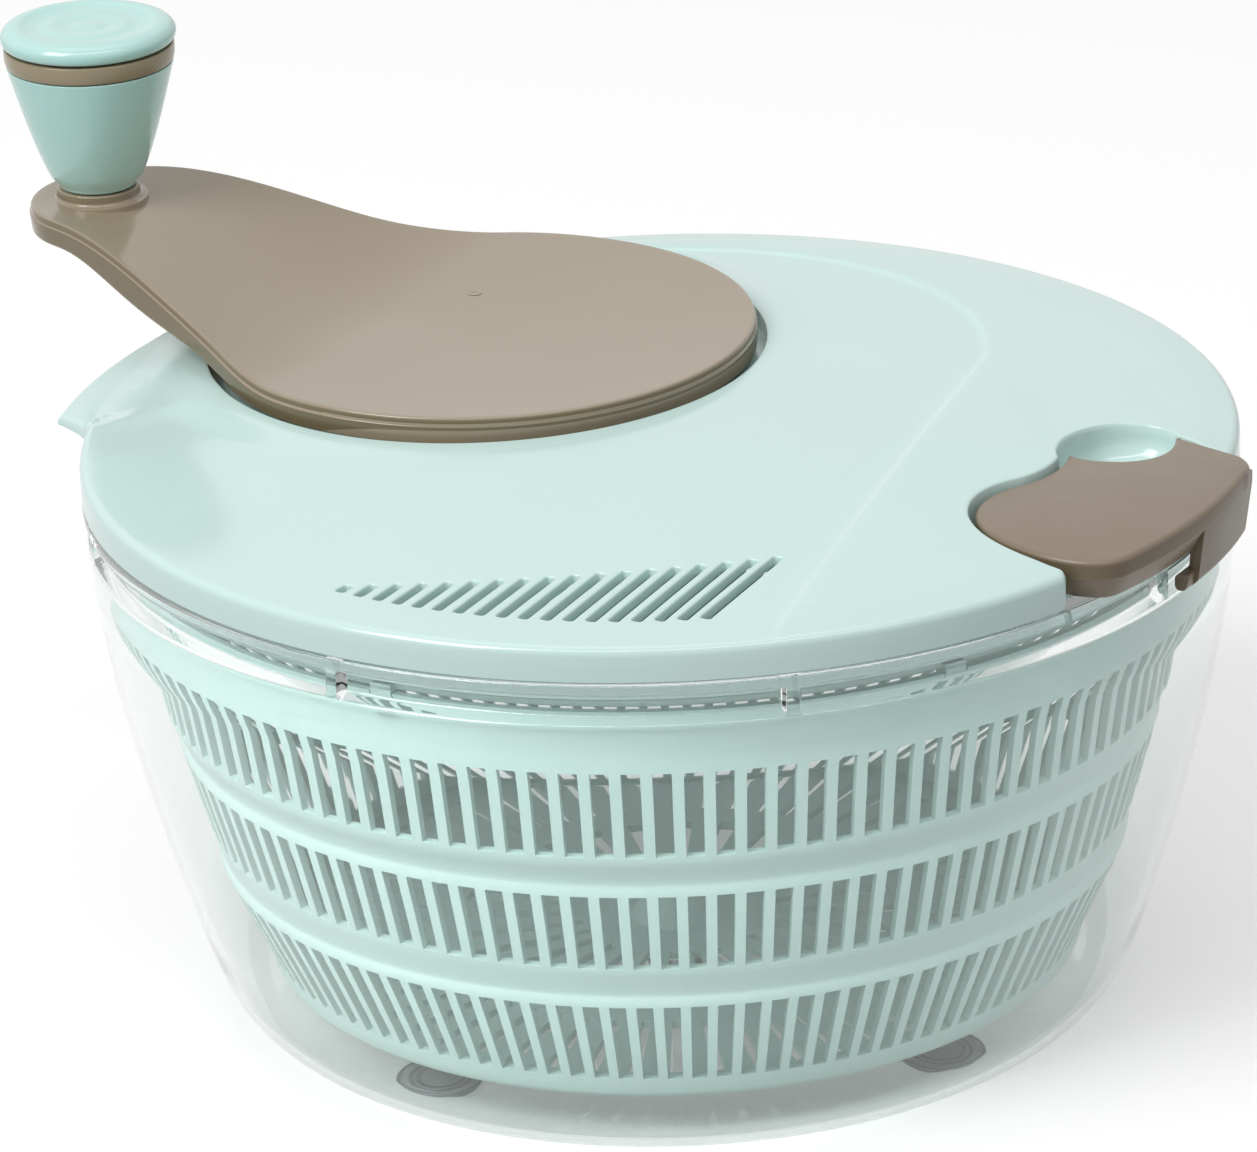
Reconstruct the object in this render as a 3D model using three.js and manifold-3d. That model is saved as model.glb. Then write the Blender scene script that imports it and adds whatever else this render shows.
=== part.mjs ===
// A hand-cranked salad spinner: a clear bowl, a slotted basket that turns on a pivot in it, and a lid
// that carries the crank, a pair of gears, the plate that drives the basket, and a swinging latch.
// Millimetres, +Z up. The origin is the centre of the bowl's underside. The near side is -Y.
import * as THREE from 'three';
import { mergeVertices } from 'three/addons/utils/BufferGeometryUtils.js';
import Module from 'manifold-3d';

const wasm = await Module();
wasm.setup();

// ---------------------------------------------------------------- driving dimensions
const gap = 0.3; // between pieces that seat on or run in each other
const over = 1; // how far a cut runs past the face that it opens
const facets = 36; // around the large rounds

// bowl
const lidRadius = 130; // lid and bowl lip are flush
const bowlHeight = 124.6; // underside to the top of the lip
const baseRadius = 92.5; // flat of the underside
const cornerWidth = 16; // the base turns up into the wall along a quarter of an oval
const cornerHeight = 24;
const bowlWall = 2.2;
const lipHeight = 2.7;
const lipOverhang = 3.4; // lip beyond the neck
const neckHeight = 5.4;
const shoulderInset = 0.6; // wall's widest ring inside the lip
const shoulderHeight = 1.6; // slope between neck and wall
const rimRibs = 8;
const rimRibAngle = -78.4; // one rib's place, degrees
const rimRibWidth = 3;
const pivotTop = 19; // height of the post that the basket turns on
const pivotTipRadius = 2.6;
const pivotTipRound = 0.8;
const pivotFootRadius = 8;

// feet
const feetCount = 4;
const feetAngle = -43; // first foot, degrees
const feetInset = 13.5; // their centres inside the edge of the flat
const footRadius = 10;
const footBore = 5.2;
const footProud = 1.2; // below the underside
const footDraft = 0.8;
const footPocket = 0.9; // recess in the underside

// basket
const basketBase = 11.6; // height of its lowest ring
const basketWall = 1.8;
const slotsPerRow = 112;
const slotShare = 0.62; // slot width as a share of the pitch
const slotRows = [ // heights, and how far the wall stands inside the bowl's inner wall
  { low: 17, high: 39, lowSetback: 11.2, highSetback: 7.9 },
  { low: 49, high: 68.5, lowSetback: 8.7, highSetback: 8.1 },
  { low: 79, high: 100.5, lowSetback: 7.4, highSetback: 7.4 },
];
const tierStep = 2.6; // ledge below a row
const tierRise = 7;
const rimClearance = 3.3; // basket rim to bowl neck
const rimFlange = 2.3;
const floorSlots = 20;
const floorBar = 0.45; // bar between two floor slots as a share of the pitch
const floorSlotRings = [[22, 50], [58, 84]]; // inner and outer radius
const socketClearance = 1.6; // basket's socket around the bowl's post
const baseRounding = 1.6;

// lid
const skirtDepth = 8; // lid edge above the lip
const lidWall = 2.2;
const crownRise = 4.4; // dome above the edge
const edgeRounding = 2.2;
const spigotDepth = 5.2; // inner ring below the lip
const spigotWall = 1.6;
const panelRise = 0.6; // low raised panel that takes in the well and the vents
const panelRound = { x: 0, y: 38, radius: 75.5 }; // its round far corner
const panelSide = { x: 19, y: -135 }; // its straight side runs to here
const beakAngle = 168.4; // pointed lip at the lid's edge: its tip, degrees
const beakReach = 10; // tip beyond the lid's edge
const beakBulge = 14.5; // fullness of its long flank
const beakDrop = 2.9; // top of the tip below the lid's edge
const beakSlope = 9.6; // its top rises towards the crank, degrees
const beakTipThickness = 2;
const ventCount = 18;
const ventWidth = 2.3;
const ventFirst = -126.4; // outer end of the first vent, degrees
const ventLast = -86;
const ventInset = 13.5; // outer ends inside the lid's edge
const ventLineInset = 37; // inner ends lie on an arc this far inside the lid's front
const ventLineBow = 0.0018; // bow of that arc
const ventLineStart = -66.9;
const ventLineEnd = 24.6;

// gears: the crank's axis stands off the lid's centre by their centre distance
const gearModule = 2;
const gearTeeth = 48;
const pinionTeeth = 13;
const pressureAngle = 25;
const toothBacklash = 0.36;
const toothTip = 0.92; // above the pitch circle, in modules
const toothRoot = 1.2; // below it
const gearThickness = 5.1;
const gearRim = 6; // pitch circle to the recess in its underside
const gearHubWall = 4;
const gearHeadroom = 3.3; // gear top below the floor of the crank's well
const crankAzimuth = 129.4; // where the crank's axis stands, degrees
const gearCaseWall = 1.8;
const gearCaseClearance = 3;
const coverThickness = 1.8;
const coverClearance = 2; // around the crank's washer
const screwBosses = [ // on the gear case: angle about the crank's axis or the lid's centre
  { about: 'crank', angle: 72 }, { about: 'crank', angle: 188 }, { about: 'crank', angle: -118 },
  { about: 'centre', angle: -25 },
];
const bossRadius = 4;
const bossSetout = 2.8; // boss centre beyond the case's wall
const screwRadius = 1.4;
const screwHeadRadius = 2.9;
const largeHeadRadius = 3.8; // of the screws that hold the plate and the crank
const screwHeadHeight = 1.6;
const screwLength = 8;

// drive plate and its axle
const axleRadius = 3;
const pinionHubRadius = 9;
const driveFlat = 15; // hexagon across flats
const plateThickness = 1.8;
const plateDrop = 2.6; // plate top below the gear cover
const plateHubDepth = 2; // below the plate
const plateHubRadius = 15;
const plateSlots = 8;
const plateSlotWidth = 5;
const plateSlotMargin = 22; // slot ends to the plate's edge
const driveLugs = 6;
const lugWidth = 5;
const lugDepth = 4;
const lugLength = 4; // along the radius
const washerThickness = 1;

// crank
const wellMargin = 4.5; // crank's well to the lid's edge
const discProud = 5.1; // disc edge above the well's lip
const wellClearance = 2.1;
const wellLip = 4; // raised lip round the well, above the lid's edge
const collarFlare = 1.6; // slope of the well's raised lip, outside
const bearingWall = 3.4;
const armAzimuth = 153.3; // direction of the arm from the crank's axis, degrees
const armLength = 101.5; // crank axis to knob axis
const armRise = 19.3;
const armRiseStart = 25; // along the arm
const armRiseEnd = 100;
const tipRadius = 22.5;
const tipSetback = 7; // centre of the round tip, towards the disc from the knob axis
const armFlare = 0.42; // widening of the arm towards the disc
const armFillet = 2.6; // softness of the hollow between arm and disc
const crankShell = 2.4;
const crankSkirt = 6.4;
const slopeSkirt = 2.4; // deeper where the arm climbs
const slopeSkirtStart = 50; // along the arm, clear of the well and the lid's crown at every turn
const dish = 2.2; // hollow of the top surface
const crankHubRadius = 9;
const crankFlat = 13;
const collarRadius = 9.8;
const collarHeight = 2.2;

// knob
const knobFootRadius = 8.4;
const knobBodyHeight = 30;
const knobTopRadius = 19.6;
const knobSpigotRadius = 15; // carries the ring and the cap
const knobRingHeight = 4.4;
const knobCapRadius = 20.6;
const knobCapHeight = 4.7;
const knobAxleRadius = 2.5;
const knobAxleHead = 5;
const knobSeatDepth = 6; // axle's head below the top of the body
const knobBossRadius = 6;
const knobBossDepth = 9;

// latch, in its own frame: on the lid's edge at its bearing, x outwards, y anticlockwise along the edge
const latchBearing = -40;
const latchPivot = new THREE.Vector2(-13.7, -9.5);
const latchClearance = 1.4; // recess around the latch
const latchPlate = 3;
const latchFloor = 1.8; // lid under the latch
const latchProud = 2.1; // flat top above the lid's edge
const latchOverhang = 6.2; // plate beyond the lid's edge
const latchStart = -7.3; // ends of the outer edge, degrees from the latch's bearing
const latchEnd = 19;
const fasciaWall = 2.4;
const fasciaLean = 3.4; // the fascia's foot stands inside its top by this much
const fasciaFoot = 1.8; // foot of the fascia above the bowl's lip
const fasciaEnd = 19.5;
const hookStart = 7.5;
const hookEnd = 22;
const hookLean = 1.7;
const hookDrop = 7.4; // below the top of the lip
const hookTooth = 3.8;
const hookRound = 1.6;
const latchBossRadius = 3.4;
const skirtCutMargin = 0.85; // gap in the skirt past the latch's ends, degrees
const scoopCentre = new THREE.Vector2(-33.4, 41.9);
const scoopRadii = new THREE.Vector3(16, 16.5, 8.2);
const scoopLevel = 1.6; // widest part above the lid's edge
const panWall = 1.6; // wall of the pans under the latch and the scoop

// ---------------------------------------------------------------- derived levels and radii
const radians = THREE.MathUtils.degToRad;
const lidEdge = bowlHeight + gap + skirtDepth;
const wellFloor = lidEdge;
const wellUnderside = wellFloor - lidWall;
const gearTop = wellUnderside - gearHeadroom;
const gearBottom = gearTop - gearThickness;
const coverTop = gearBottom - 2 * gap;
const coverBottom = coverTop - coverThickness;
const plateTop = coverBottom - plateDrop;
const plateBottom = plateTop - plateThickness;
const basketRim = plateBottom - gap;
const collarTop = lidEdge + wellLip;
const discTop = collarTop + discProud;
const pinionBottom = plateBottom - plateHubDepth - gap;
const axleTop = wellFloor - lidWall / 2;
const neckRadius = lidRadius - lipOverhang;
const neckInner = neckRadius - bowlWall;
const shoulderRadius = lidRadius - shoulderInset;
const shoulderZ = bowlHeight - lipHeight - neckHeight - shoulderHeight;
const basketRimRadius = neckInner - rimClearance;
const spigotOuter = neckInner - 1.4 * gap;
const spigotInner = spigotOuter - spigotWall;
const pitchGear = (gearModule * gearTeeth) / 2;
const pitchPinion = (gearModule * pinionTeeth) / 2;
const centreDistance = pitchGear + pitchPinion;
const polar = (radius, degrees) => new THREE.Vector2(
  radius * Math.cos(radians(degrees)), radius * Math.sin(radians(degrees)));
const crankAxis = polar(centreDistance, crankAzimuth);
const wellRadius = lidRadius - centreDistance - wellMargin;
const discRadius = wellRadius - wellClearance;
const tipCentre = armLength - tipSetback;
const feetCircle = baseRadius - feetInset;
const plateRadius = basketRimRadius - rimFlange + gap;
const latchRadius = lidRadius + latchOverhang;
const latchFloorTop = lidEdge - latchPlate - 2 * gap;
const latchFloorBottom = latchFloorTop - latchFloor;

// ---------------------------------------------------------------- materials
const clear = new THREE.MeshStandardMaterial({
  color: 0xe6eef0, roughness: 0.08, transparent: true, opacity: 0.3,
});
const mint = new THREE.MeshStandardMaterial({ color: 0xc3dfdb, roughness: 0.32 });
const taupe = new THREE.MeshStandardMaterial({ color: 0x9c8e80, roughness: 0.35 });
const white = new THREE.MeshStandardMaterial({ color: 0xeeeeea, roughness: 0.45 });
const steel = new THREE.MeshStandardMaterial({ color: 0xb8babd, roughness: 0.25, metalness: 1 });
const rubber = new THREE.MeshStandardMaterial({ color: 0x8e979a, roughness: 0.8 });

// ---------------------------------------------------------------- shape helpers
// Positions only, with shared corners merged, collapsed faces at the poles dropped and faces outwards.
function closedGeometry(source) {
  const loose = source.index ? source.toNonIndexed() : source.clone();
  for (const name of Object.keys(loose.attributes)) {
    if (name !== 'position') loose.deleteAttribute(name);
  }
  const merged = mergeVertices(loose, 1e-4);
  const position = merged.attributes.position;
  const corners = [0, 1, 2].map(() => new THREE.Vector3());
  const kept = [];
  let volume = 0;
  for (let i = 0; i < merged.index.count; i += 3) {
    const face = [0, 1, 2].map((k) => merged.index.getX(i + k));
    if (new Set(face).size < 3) continue;
    face.forEach((vertex, k) => corners[k].fromBufferAttribute(position, vertex));
    volume += corners[0].dot(corners[1].clone().cross(corners[2]));
    kept.push(face);
  }
  if (volume < 0) kept.forEach((face) => face.reverse());
  merged.setIndex(kept.flat());
  return merged;
}

function solidOf(geometry) {
  const closed = closedGeometry(geometry);
  return new wasm.Manifold(new wasm.Mesh({
    numProp: 3,
    vertProperties: new Float32Array(closed.attributes.position.array),
    triVerts: new Uint32Array(closed.index.array),
  }));
}

function geometryOf(solid) {
  const { vertProperties, triVerts } = solid.getMesh();
  const geometry = new THREE.BufferGeometry();
  geometry.setAttribute('position', new THREE.BufferAttribute(new Float32Array(vertProperties), 3));
  geometry.setIndex(Array.from(triVerts));
  geometry.computeVertexNormals();
  return geometry;
}

// A profile of [radius, height] points turned about Z. It starts and ends on the axis, or closes on itself.
function revolved(profile, sides = facets) {
  const onAxis = profile[0][0] === 0;
  const path = onAxis ? profile : [...profile, profile[0]];
  const lathe = new THREE.LatheGeometry(path.map(([r, z]) => new THREE.Vector2(r, z)), sides);
  return solidOf(lathe.rotateX(Math.PI / 2));
}

function prism(shape, low, high, curveSegments = 8) {
  const options = { depth: high - low, bevelEnabled: false, curveSegments };
  return solidOf(new THREE.ExtrudeGeometry(shape, options).translate(0, 0, low));
}

function rod(radius, low, high, sides = 20, topRadius = radius) {
  return revolved([[0, low], [radius, low], [topRadius, high], [0, high]], sides);
}

function tube(outer, inner, low, high, sides = 20) {
  return revolved([[inner, low], [outer, low], [outer, high], [inner, high]], sides);
}

function block(width, depth, low, high) {
  return solidOf(new THREE.BoxGeometry(width, depth, high - low).translate(0, 0, (low + high) / 2));
}

function hexagon(acrossFlats, low, high) {
  return rod(acrossFlats / Math.sqrt(3), low, high, 6);
}

const moved = (solid, x, y, z = 0) => solid.translate([x, y, z]);
const turned = (solid, degrees) => solid.rotate([0, 0, degrees]);
const around = (count, start = 0) => Array.from({ length: count }, (_, i) => start + (360 / count) * i);
const steps = (count, from, to) => Array.from(
  { length: count + 1 }, (_, i) => from + ((to - from) * i) / count);

function shapeOf(points) {
  return new THREE.Shape(points.map(([x, y]) => new THREE.Vector2(x, y)));
}

// A flat wedge of a disc between two bearings, for cutting arcs out of rings.
function wedge(radius, start, end, low, high) {
  const count = Math.max(2, Math.ceil(Math.abs(end - start) / 6));
  const rim = steps(count, start, end).map((angle) => polar(radius, angle));
  return prism(new THREE.Shape([new THREE.Vector2(0, 0), ...rim]), low, high);
}

// ---------------------------------------------------------------- bowl
// Outer wall: the oval corner up to where it meets the wall, then a wall that steepens to the shoulder.
const wallPower = 1.5;
const cornerSweep = radians(63.7);
const wallFootZ = cornerHeight * (1 - Math.cos(cornerSweep));
const wallFootRadius = baseRadius + cornerWidth * Math.sin(cornerSweep);
function bowlOuter(z) {
  const share = THREE.MathUtils.clamp((z - wallFootZ) / (shoulderZ - wallFootZ), 0, 1);
  return wallFootRadius + (shoulderRadius - wallFootRadius) * (1 - (1 - share) ** wallPower);
}
const bowlInner = (z) => bowlOuter(z) - bowlWall;

function bowl() {
  const corner = (inset) => steps(3, 0, cornerSweep).map((angle) => [
    baseRadius + (cornerWidth - inset) * Math.sin(angle),
    cornerHeight - (cornerHeight - inset) * Math.cos(angle),
  ]);
  const heights = steps(3, wallFootZ, shoulderZ).slice(1);
  const neckLow = bowlHeight - lipHeight - neckHeight;
  const neckHigh = bowlHeight - lipHeight;
  const shell = revolved([
    [0, 0],
    ...corner(0),
    ...heights.map((z) => [bowlOuter(z), z]),
    [neckRadius, neckLow], [neckRadius, neckHigh], [lidRadius, neckHigh], [lidRadius, bowlHeight],
    [neckInner, bowlHeight], [neckInner, neckLow - shoulderHeight / 2],
    ...heights.reverse().slice(1).map((z) => [bowlInner(z), z]),
    ...corner(bowlWall).reverse(),
    [pivotFootRadius, bowlWall], [pivotTipRadius, pivotTop - pivotTipRound], [0, pivotTop],
  ]);
  const sunk = gap;
  const ribDepth = lipOverhang - shoulderInset + sunk;
  const rib = moved(
    block(ribDepth, rimRibWidth, neckLow - sunk, neckHigh + sunk), neckRadius + ribDepth / 2 - sunk, 0);
  const ribs = around(rimRibs, rimRibAngle).map((angle) => turned(rib, angle));
  const pockets = around(feetCount, feetAngle).map((angle) => {
    const place = polar(feetCircle, angle);
    return moved(tube(footRadius + gap, footBore - gap, -over, footPocket, 12), place.x, place.y);
  });
  return wasm.Manifold.union([shell, ...ribs]).subtract(wasm.Manifold.union(pockets));
}

function foot() {
  return revolved([
    [footBore, footPocket - gap], [footBore, -footProud], [footRadius - footDraft, -footProud],
    [footRadius, footPocket - gap],
  ], 12);
}

// ---------------------------------------------------------------- basket
// A shell of rings joined by strips of faces. The path runs from the axis out under the floor, up the
// outside, over the rim, down the inside and back to the axis, so faces point outwards all along it.
class RingShell {
  constructor() {
    this.points = [];
    this.faces = [];
  }

  ring(radius, height, angles) {
    const first = this.points.length / 3;
    for (const angle of angles) {
      this.points.push(radius * Math.cos(angle), radius * Math.sin(angle), height);
    }
    return angles.map((angle, i) => ({ vertex: first + i, angle }));
  }

  // One full strip between two rings that may differ in their number of corners.
  strip(from, to) {
    let a = 0;
    let b = 0;
    const at = (ring, i) => ring[i % ring.length];
    const bearing = (ring, i) => at(ring, i).angle + (i >= ring.length ? 2 * Math.PI : 0);
    while (a < from.length || b < to.length) {
      const next = b >= to.length || (a < from.length && bearing(from, a + 1) <= bearing(to, b + 1) + 1e-9);
      if (next) this.faces.push(at(from, a).vertex, at(from, a + 1).vertex, at(to, b).vertex);
      else this.faces.push(at(from, a).vertex, at(to, b + 1).vertex, at(to, b).vertex);
      if (next) a += 1;
      else b += 1;
    }
  }

  pole(ring, height, last) {
    const tip = this.points.length / 3;
    this.points.push(0, 0, height);
    ring.forEach((corner, i) => {
      const next = ring[(i + 1) % ring.length];
      if (last) this.faces.push(corner.vertex, next.vertex, tip);
      else this.faces.push(next.vertex, corner.vertex, tip);
    });
  }

  quad(a, b, c, d) {
    this.faces.push(a.vertex, b.vertex, c.vertex, a.vertex, c.vertex, d.vertex);
  }

  // Bars between two pairs of rings, with open slots between them. Outside, each bar has two edges;
  // inside it comes to one, because the slots are drafted to leave the mould.
  bars(outerStart, outerEnd, innerStart, innerEnd) {
    const count = innerStart.length;
    for (let i = 0; i < count; i += 1) {
      const next = (i + 1) % count;
      const [left, right, nextLeft] = [2 * i, 2 * i + 1, 2 * next];
      this.quad(outerStart[left], outerStart[right], outerEnd[right], outerEnd[left]);
      this.quad(outerStart[right], innerEnd[i], innerStart[i], outerEnd[right]);
      this.quad(outerStart[nextLeft], outerEnd[nextLeft], innerStart[next], innerEnd[next]);
      this.quad(outerEnd[right], innerStart[i], innerStart[next], outerEnd[nextLeft]);
      this.quad(outerStart[right], outerStart[nextLeft], innerEnd[next], innerEnd[i]);
    }
  }

  solid() {
    const geometry = new THREE.BufferGeometry();
    geometry.setAttribute('position', new THREE.BufferAttribute(new Float32Array(this.points), 3));
    geometry.setIndex(this.faces);
    return solidOf(geometry);
  }
}

// Bearings of a plain ring's corners, of the two edges of each bar outside, and of its one edge inside.
const plainAngles = (count, shift = 0) => Array.from(
  { length: count }, (_, i) => ((i + shift) * 2 * Math.PI) / count);
const barEdges = (count, share) => plainAngles(count).flatMap(
  (angle) => [angle, angle + (share * 2 * Math.PI) / count]);

function basket() {
  const shell = new RingShell();
  const bar = 1 - slotShare;
  const outside = barEdges(slotsPerRow, bar);
  const inside = plainAngles(slotsPerRow, bar / 2);
  const plain = plainAngles(slotsPerRow / 4);
  const underFloor = barEdges(floorSlots, floorBar);
  const onFloor = plainAngles(floorSlots, floorBar / 2);
  const hubAngles = plainAngles(floorSlots);
  const floorTop = basketBase + basketWall;
  const outerAt = (row, end) => bowlInner(row[end]) - row[`${end}Setback`];

  // the wall's slotted rows, outside and inside
  const rows = slotRows.map((row) => ({
    outerLow: shell.ring(outerAt(row, 'low'), row.low, outside),
    outerHigh: shell.ring(outerAt(row, 'high'), row.high, outside),
    innerHigh: shell.ring(outerAt(row, 'high') - basketWall, row.high, inside),
    innerLow: shell.ring(outerAt(row, 'low') - basketWall, row.low, inside),
  }));
  rows.forEach((row) => shell.bars(row.outerLow, row.outerHigh, row.innerHigh, row.innerLow));
  // the floor's slots, from the underside and from the top
  const [inner, outer] = floorSlotRings.map(([start, end]) => ({
    underStart: shell.ring(start, basketBase, underFloor),
    underEnd: shell.ring(end, basketBase, underFloor),
    topStart: shell.ring(end, floorTop, onFloor),
    topEnd: shell.ring(start, floorTop, onFloor),
  }));
  [inner, outer].forEach((row) => shell.bars(row.underStart, row.underEnd, row.topStart, row.topEnd));

  // one continuous skin: each call joins the next ring to the last one
  let last = null;
  const join = (next, resumeFrom = next) => {
    shell.strip(last, next);
    last = resumeFrom;
  };

  // underside: a socket that drops over the bowl's post, then the floor
  const socketTop = pivotTop + gap;
  const socketRadius = pivotTipRadius + socketClearance;
  const socketFoot = pivotFootRadius + socketClearance;
  last = shell.ring(socketRadius, socketTop, hubAngles);
  shell.pole(last, socketTop, false);
  join(shell.ring(socketFoot, basketBase, hubAngles));
  join(inner.underStart, inner.underEnd);
  join(outer.underStart, outer.underEnd);

  // outside: base ring, tiers, rim flange
  const baseOuter = outerAt(slotRows[0], 'low');
  join(shell.ring(baseOuter - baseRounding, basketBase, plain));
  rows.forEach((row, i) => {
    join(row.outerLow, row.outerHigh);
    const above = slotRows[i + 1];
    if (above) join(shell.ring(outerAt(above, 'low') - tierStep, above.low - tierRise, plain));
  });
  const flangeLow = basketRim - rimFlange;
  const bandOuter = basketRimRadius - rimFlange;
  join(shell.ring(bandOuter, flangeLow - rimFlange / 2, plain));
  join(shell.ring(basketRimRadius, flangeLow, plain));
  join(shell.ring(basketRimRadius, basketRim, plain));
  join(shell.ring(bandOuter, basketRim, plain));
  join(shell.ring(bandOuter - basketWall, flangeLow - rimFlange / 2, plain));

  // inside: back down the tiers to the floor and the socket
  [...rows].reverse().forEach((row) => join(row.innerHigh, row.innerLow));
  join(shell.ring(baseOuter - baseRounding - basketWall, floorTop, plain));
  join(outer.topStart, outer.topEnd);
  join(inner.topStart, inner.topEnd);
  join(shell.ring(socketFoot + basketWall, floorTop, hubAngles));
  join(shell.ring(socketRadius + basketWall / 2, socketTop + basketWall, hubAngles));
  shell.pole(last, socketTop + basketWall, true);

  const notchLength = rimFlange + basketWall + 2 * gap + over;
  const notches = around(driveLugs).map((angle) => turned(
    moved(block(notchLength, lugWidth + 2 * gap, basketRim - lugDepth, basketRim + over),
      basketRimRadius + over - notchLength / 2, 0),
    angle));
  return shell.solid().subtract(wasm.Manifold.union(notches));
}

// ---------------------------------------------------------------- gears
// One tooth outline is an involute flank pair; the root and tip are cut on circles.
function gearOutline(teeth, phase, middles) {
  const pitch = (gearModule * teeth) / 2;
  const base = pitch * Math.cos(radians(pressureAngle));
  const tip = pitch + toothTip * gearModule;
  const root = pitch - toothRoot * gearModule;
  const involute = (radius) => {
    const roll = Math.sqrt(Math.max(0, (radius / base) ** 2 - 1));
    return roll - Math.atan(roll);
  };
  const halfAtPitch = Math.PI / (2 * teeth) - toothBacklash / 2 / pitch;
  const halfAngle = (radius) => halfAtPitch + involute(pitch) - involute(Math.max(radius, base));
  const levels = [root, ...middles.map((above) => pitch + above * gearModule), tip];
  const points = [];
  for (let i = 0; i < teeth; i += 1) {
    const middle = radians(phase) + (i * 2 * Math.PI) / teeth;
    levels.forEach((r) => points.push([r, middle - halfAngle(r)]));
    [...levels].reverse().forEach((r) => points.push([r, middle + halfAngle(r)]));
  }
  return shapeOf(points.map(([r, angle]) => [r * Math.cos(angle), r * Math.sin(angle)]));
}

// The large gear is keyed on the crank's hub; at rest one of its teeth points at the pinion.
function driveGear() {
  const toPinion = crankAzimuth + 180 - armAzimuth;
  const rim = prism(gearOutline(gearTeeth, toPinion, []), gearBottom, gearTop);
  const webOuter = pitchGear - gearRim;
  const webTop = gearBottom + gearThickness / 2;
  const web = tube(webOuter, crankHubRadius + gearHubWall, gearBottom - over, webTop, 24);
  const keyhole = hexagon(crankFlat + 2 * gap, gearBottom - over, gearTop + over);
  return rim.subtract(wasm.Manifold.union([web, keyhole]));
}

function drivePinion() {
  const toGear = crankAzimuth + 180 / pinionTeeth;
  const teeth = prism(gearOutline(pinionTeeth, toGear, [0]), gearBottom, gearTop);
  const hub = rod(pinionHubRadius, coverBottom - gap, gearBottom, 16);
  const drive = hexagon(driveFlat, pinionBottom, coverBottom - gap);
  const body = wasm.Manifold.union([teeth, hub, drive]);
  return body.subtract(rod(axleRadius + gap, pinionBottom - over, gearTop + over, 12));
}

// Outline of the gear case: the hull of a circle round each gear.
function caseOutline(offset) {
  const nearRadius = pitchPinion + gearModule + gearCaseClearance + offset;
  const farRadius = pitchGear + gearModule + gearCaseClearance + offset;
  const lean = THREE.MathUtils.radToDeg(Math.acos((farRadius - nearRadius) / centreDistance));
  const far = steps(15, crankAzimuth + 180 + lean, crankAzimuth + 540 - lean);
  const near = steps(4, crankAzimuth + 180 - lean, crankAzimuth + 180 + lean);
  return new THREE.Shape([
    ...far.map((angle) => polar(farRadius, angle).add(crankAxis)),
    ...near.slice(1, -1).map((angle) => polar(nearRadius, angle)),
  ]);
}

function bossPlaces() {
  const reach = gearModule + gearCaseClearance + gearCaseWall + bossSetout;
  return screwBosses.map(({ about, angle }) => (about === 'crank'
    ? polar(pitchGear + reach, angle).add(crankAxis)
    : polar(pitchPinion + reach, angle)));
}

function gearCover() {
  const plate = prism(caseOutline(gearCaseWall), coverBottom, coverTop);
  const ears = bossPlaces().map((place) => moved(
    rod(bossRadius, coverBottom, coverTop, 10), place.x, place.y));
  const holes = [
    rod(pinionHubRadius + 2 * gap, coverBottom - over, coverTop + over),
    moved(
      rod(crankHubRadius + coverClearance, coverBottom - over, coverTop + over), crankAxis.x, crankAxis.y),
    ...bossPlaces().map((place) => moved(
      rod(screwRadius + gap, coverBottom - over, coverTop + over, 8), place.x, place.y)),
  ];
  return wasm.Manifold.union([plate, ...ears]).subtract(wasm.Manifold.union(holes));
}

// A pan-head screw with its tip up, head underside at z = 0.
function screw(shankRadius, length, headRadius, headHeight) {
  return revolved([
    [0, -headHeight], [headRadius * 0.75, -headHeight], [headRadius, 0], [shankRadius, 0],
    [shankRadius, length - shankRadius], [0, length],
  ], 8);
}

// ---------------------------------------------------------------- lid
const domeAt = (radius) => lidEdge + crownRise * (1 - (radius / lidRadius) ** 2);
const crownRadii = [0, 75, 110, lidRadius - edgeRounding];

// Everything under a surface that lies the given depth below the lid's crown.
function underCrown(depth, reach) {
  return revolved([
    ...crownRadii.map((r) => [r, domeAt(r) - depth]),
    [reach, lidEdge - depth], [reach, shoulderZ], [0, shoulderZ],
  ]);
}

// The latch's plate, in the latch's own frame.
function latchOutline(offset) {
  const shape = new THREE.Shape();
  shape.absarc(-lidRadius, 0, latchRadius, radians(latchStart), radians(latchEnd));
  shape.quadraticCurveTo(-2.4, 50.9, -8.4, 53.5); // rounded outer corner
  shape.lineTo(-27.1, 55); // straight end beside the scoop
  shape.quadraticCurveTo(-19.4, 43.2, -28.5, 36.1); // hollow where the finger goes
  shape.quadraticCurveTo(-34.2, 32.1, -40.2, 32.7);
  shape.quadraticCurveTo(-35.3, 24, -37.6, 14.1); // side towards the lid's centre
  shape.quadraticCurveTo(-43, 1.2, -35, -8.3); // round nose
  shape.quadraticCurveTo(-23.9, -20.7, -3.4, -20.8);
  return offset === 0 ? shape : offsetShape(shape, offset);
}

// A closed outline pushed outwards along the mean normal of its neighbouring edges.
function offsetShape(shape, offset) {
  const points = shape.extractPoints(4).shape;
  const count = points.length;
  const area = THREE.ShapeUtils.area(points);
  const side = Math.sign(area) * offset;
  return new THREE.Shape(points.map((point, i) => {
    const before = points[(i + count - 1) % count];
    const after = points[(i + 1) % count];
    const first = point.clone().sub(before).normalize();
    const second = after.clone().sub(point).normalize();
    const normal = new THREE.Vector2(first.y + second.y, -first.x - second.x).normalize();
    const stretch = Math.max(0.6, Math.abs(normal.x * first.y - normal.y * first.x));
    return point.clone().addScaledVector(normal, side / stretch);
  }));
}

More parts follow.
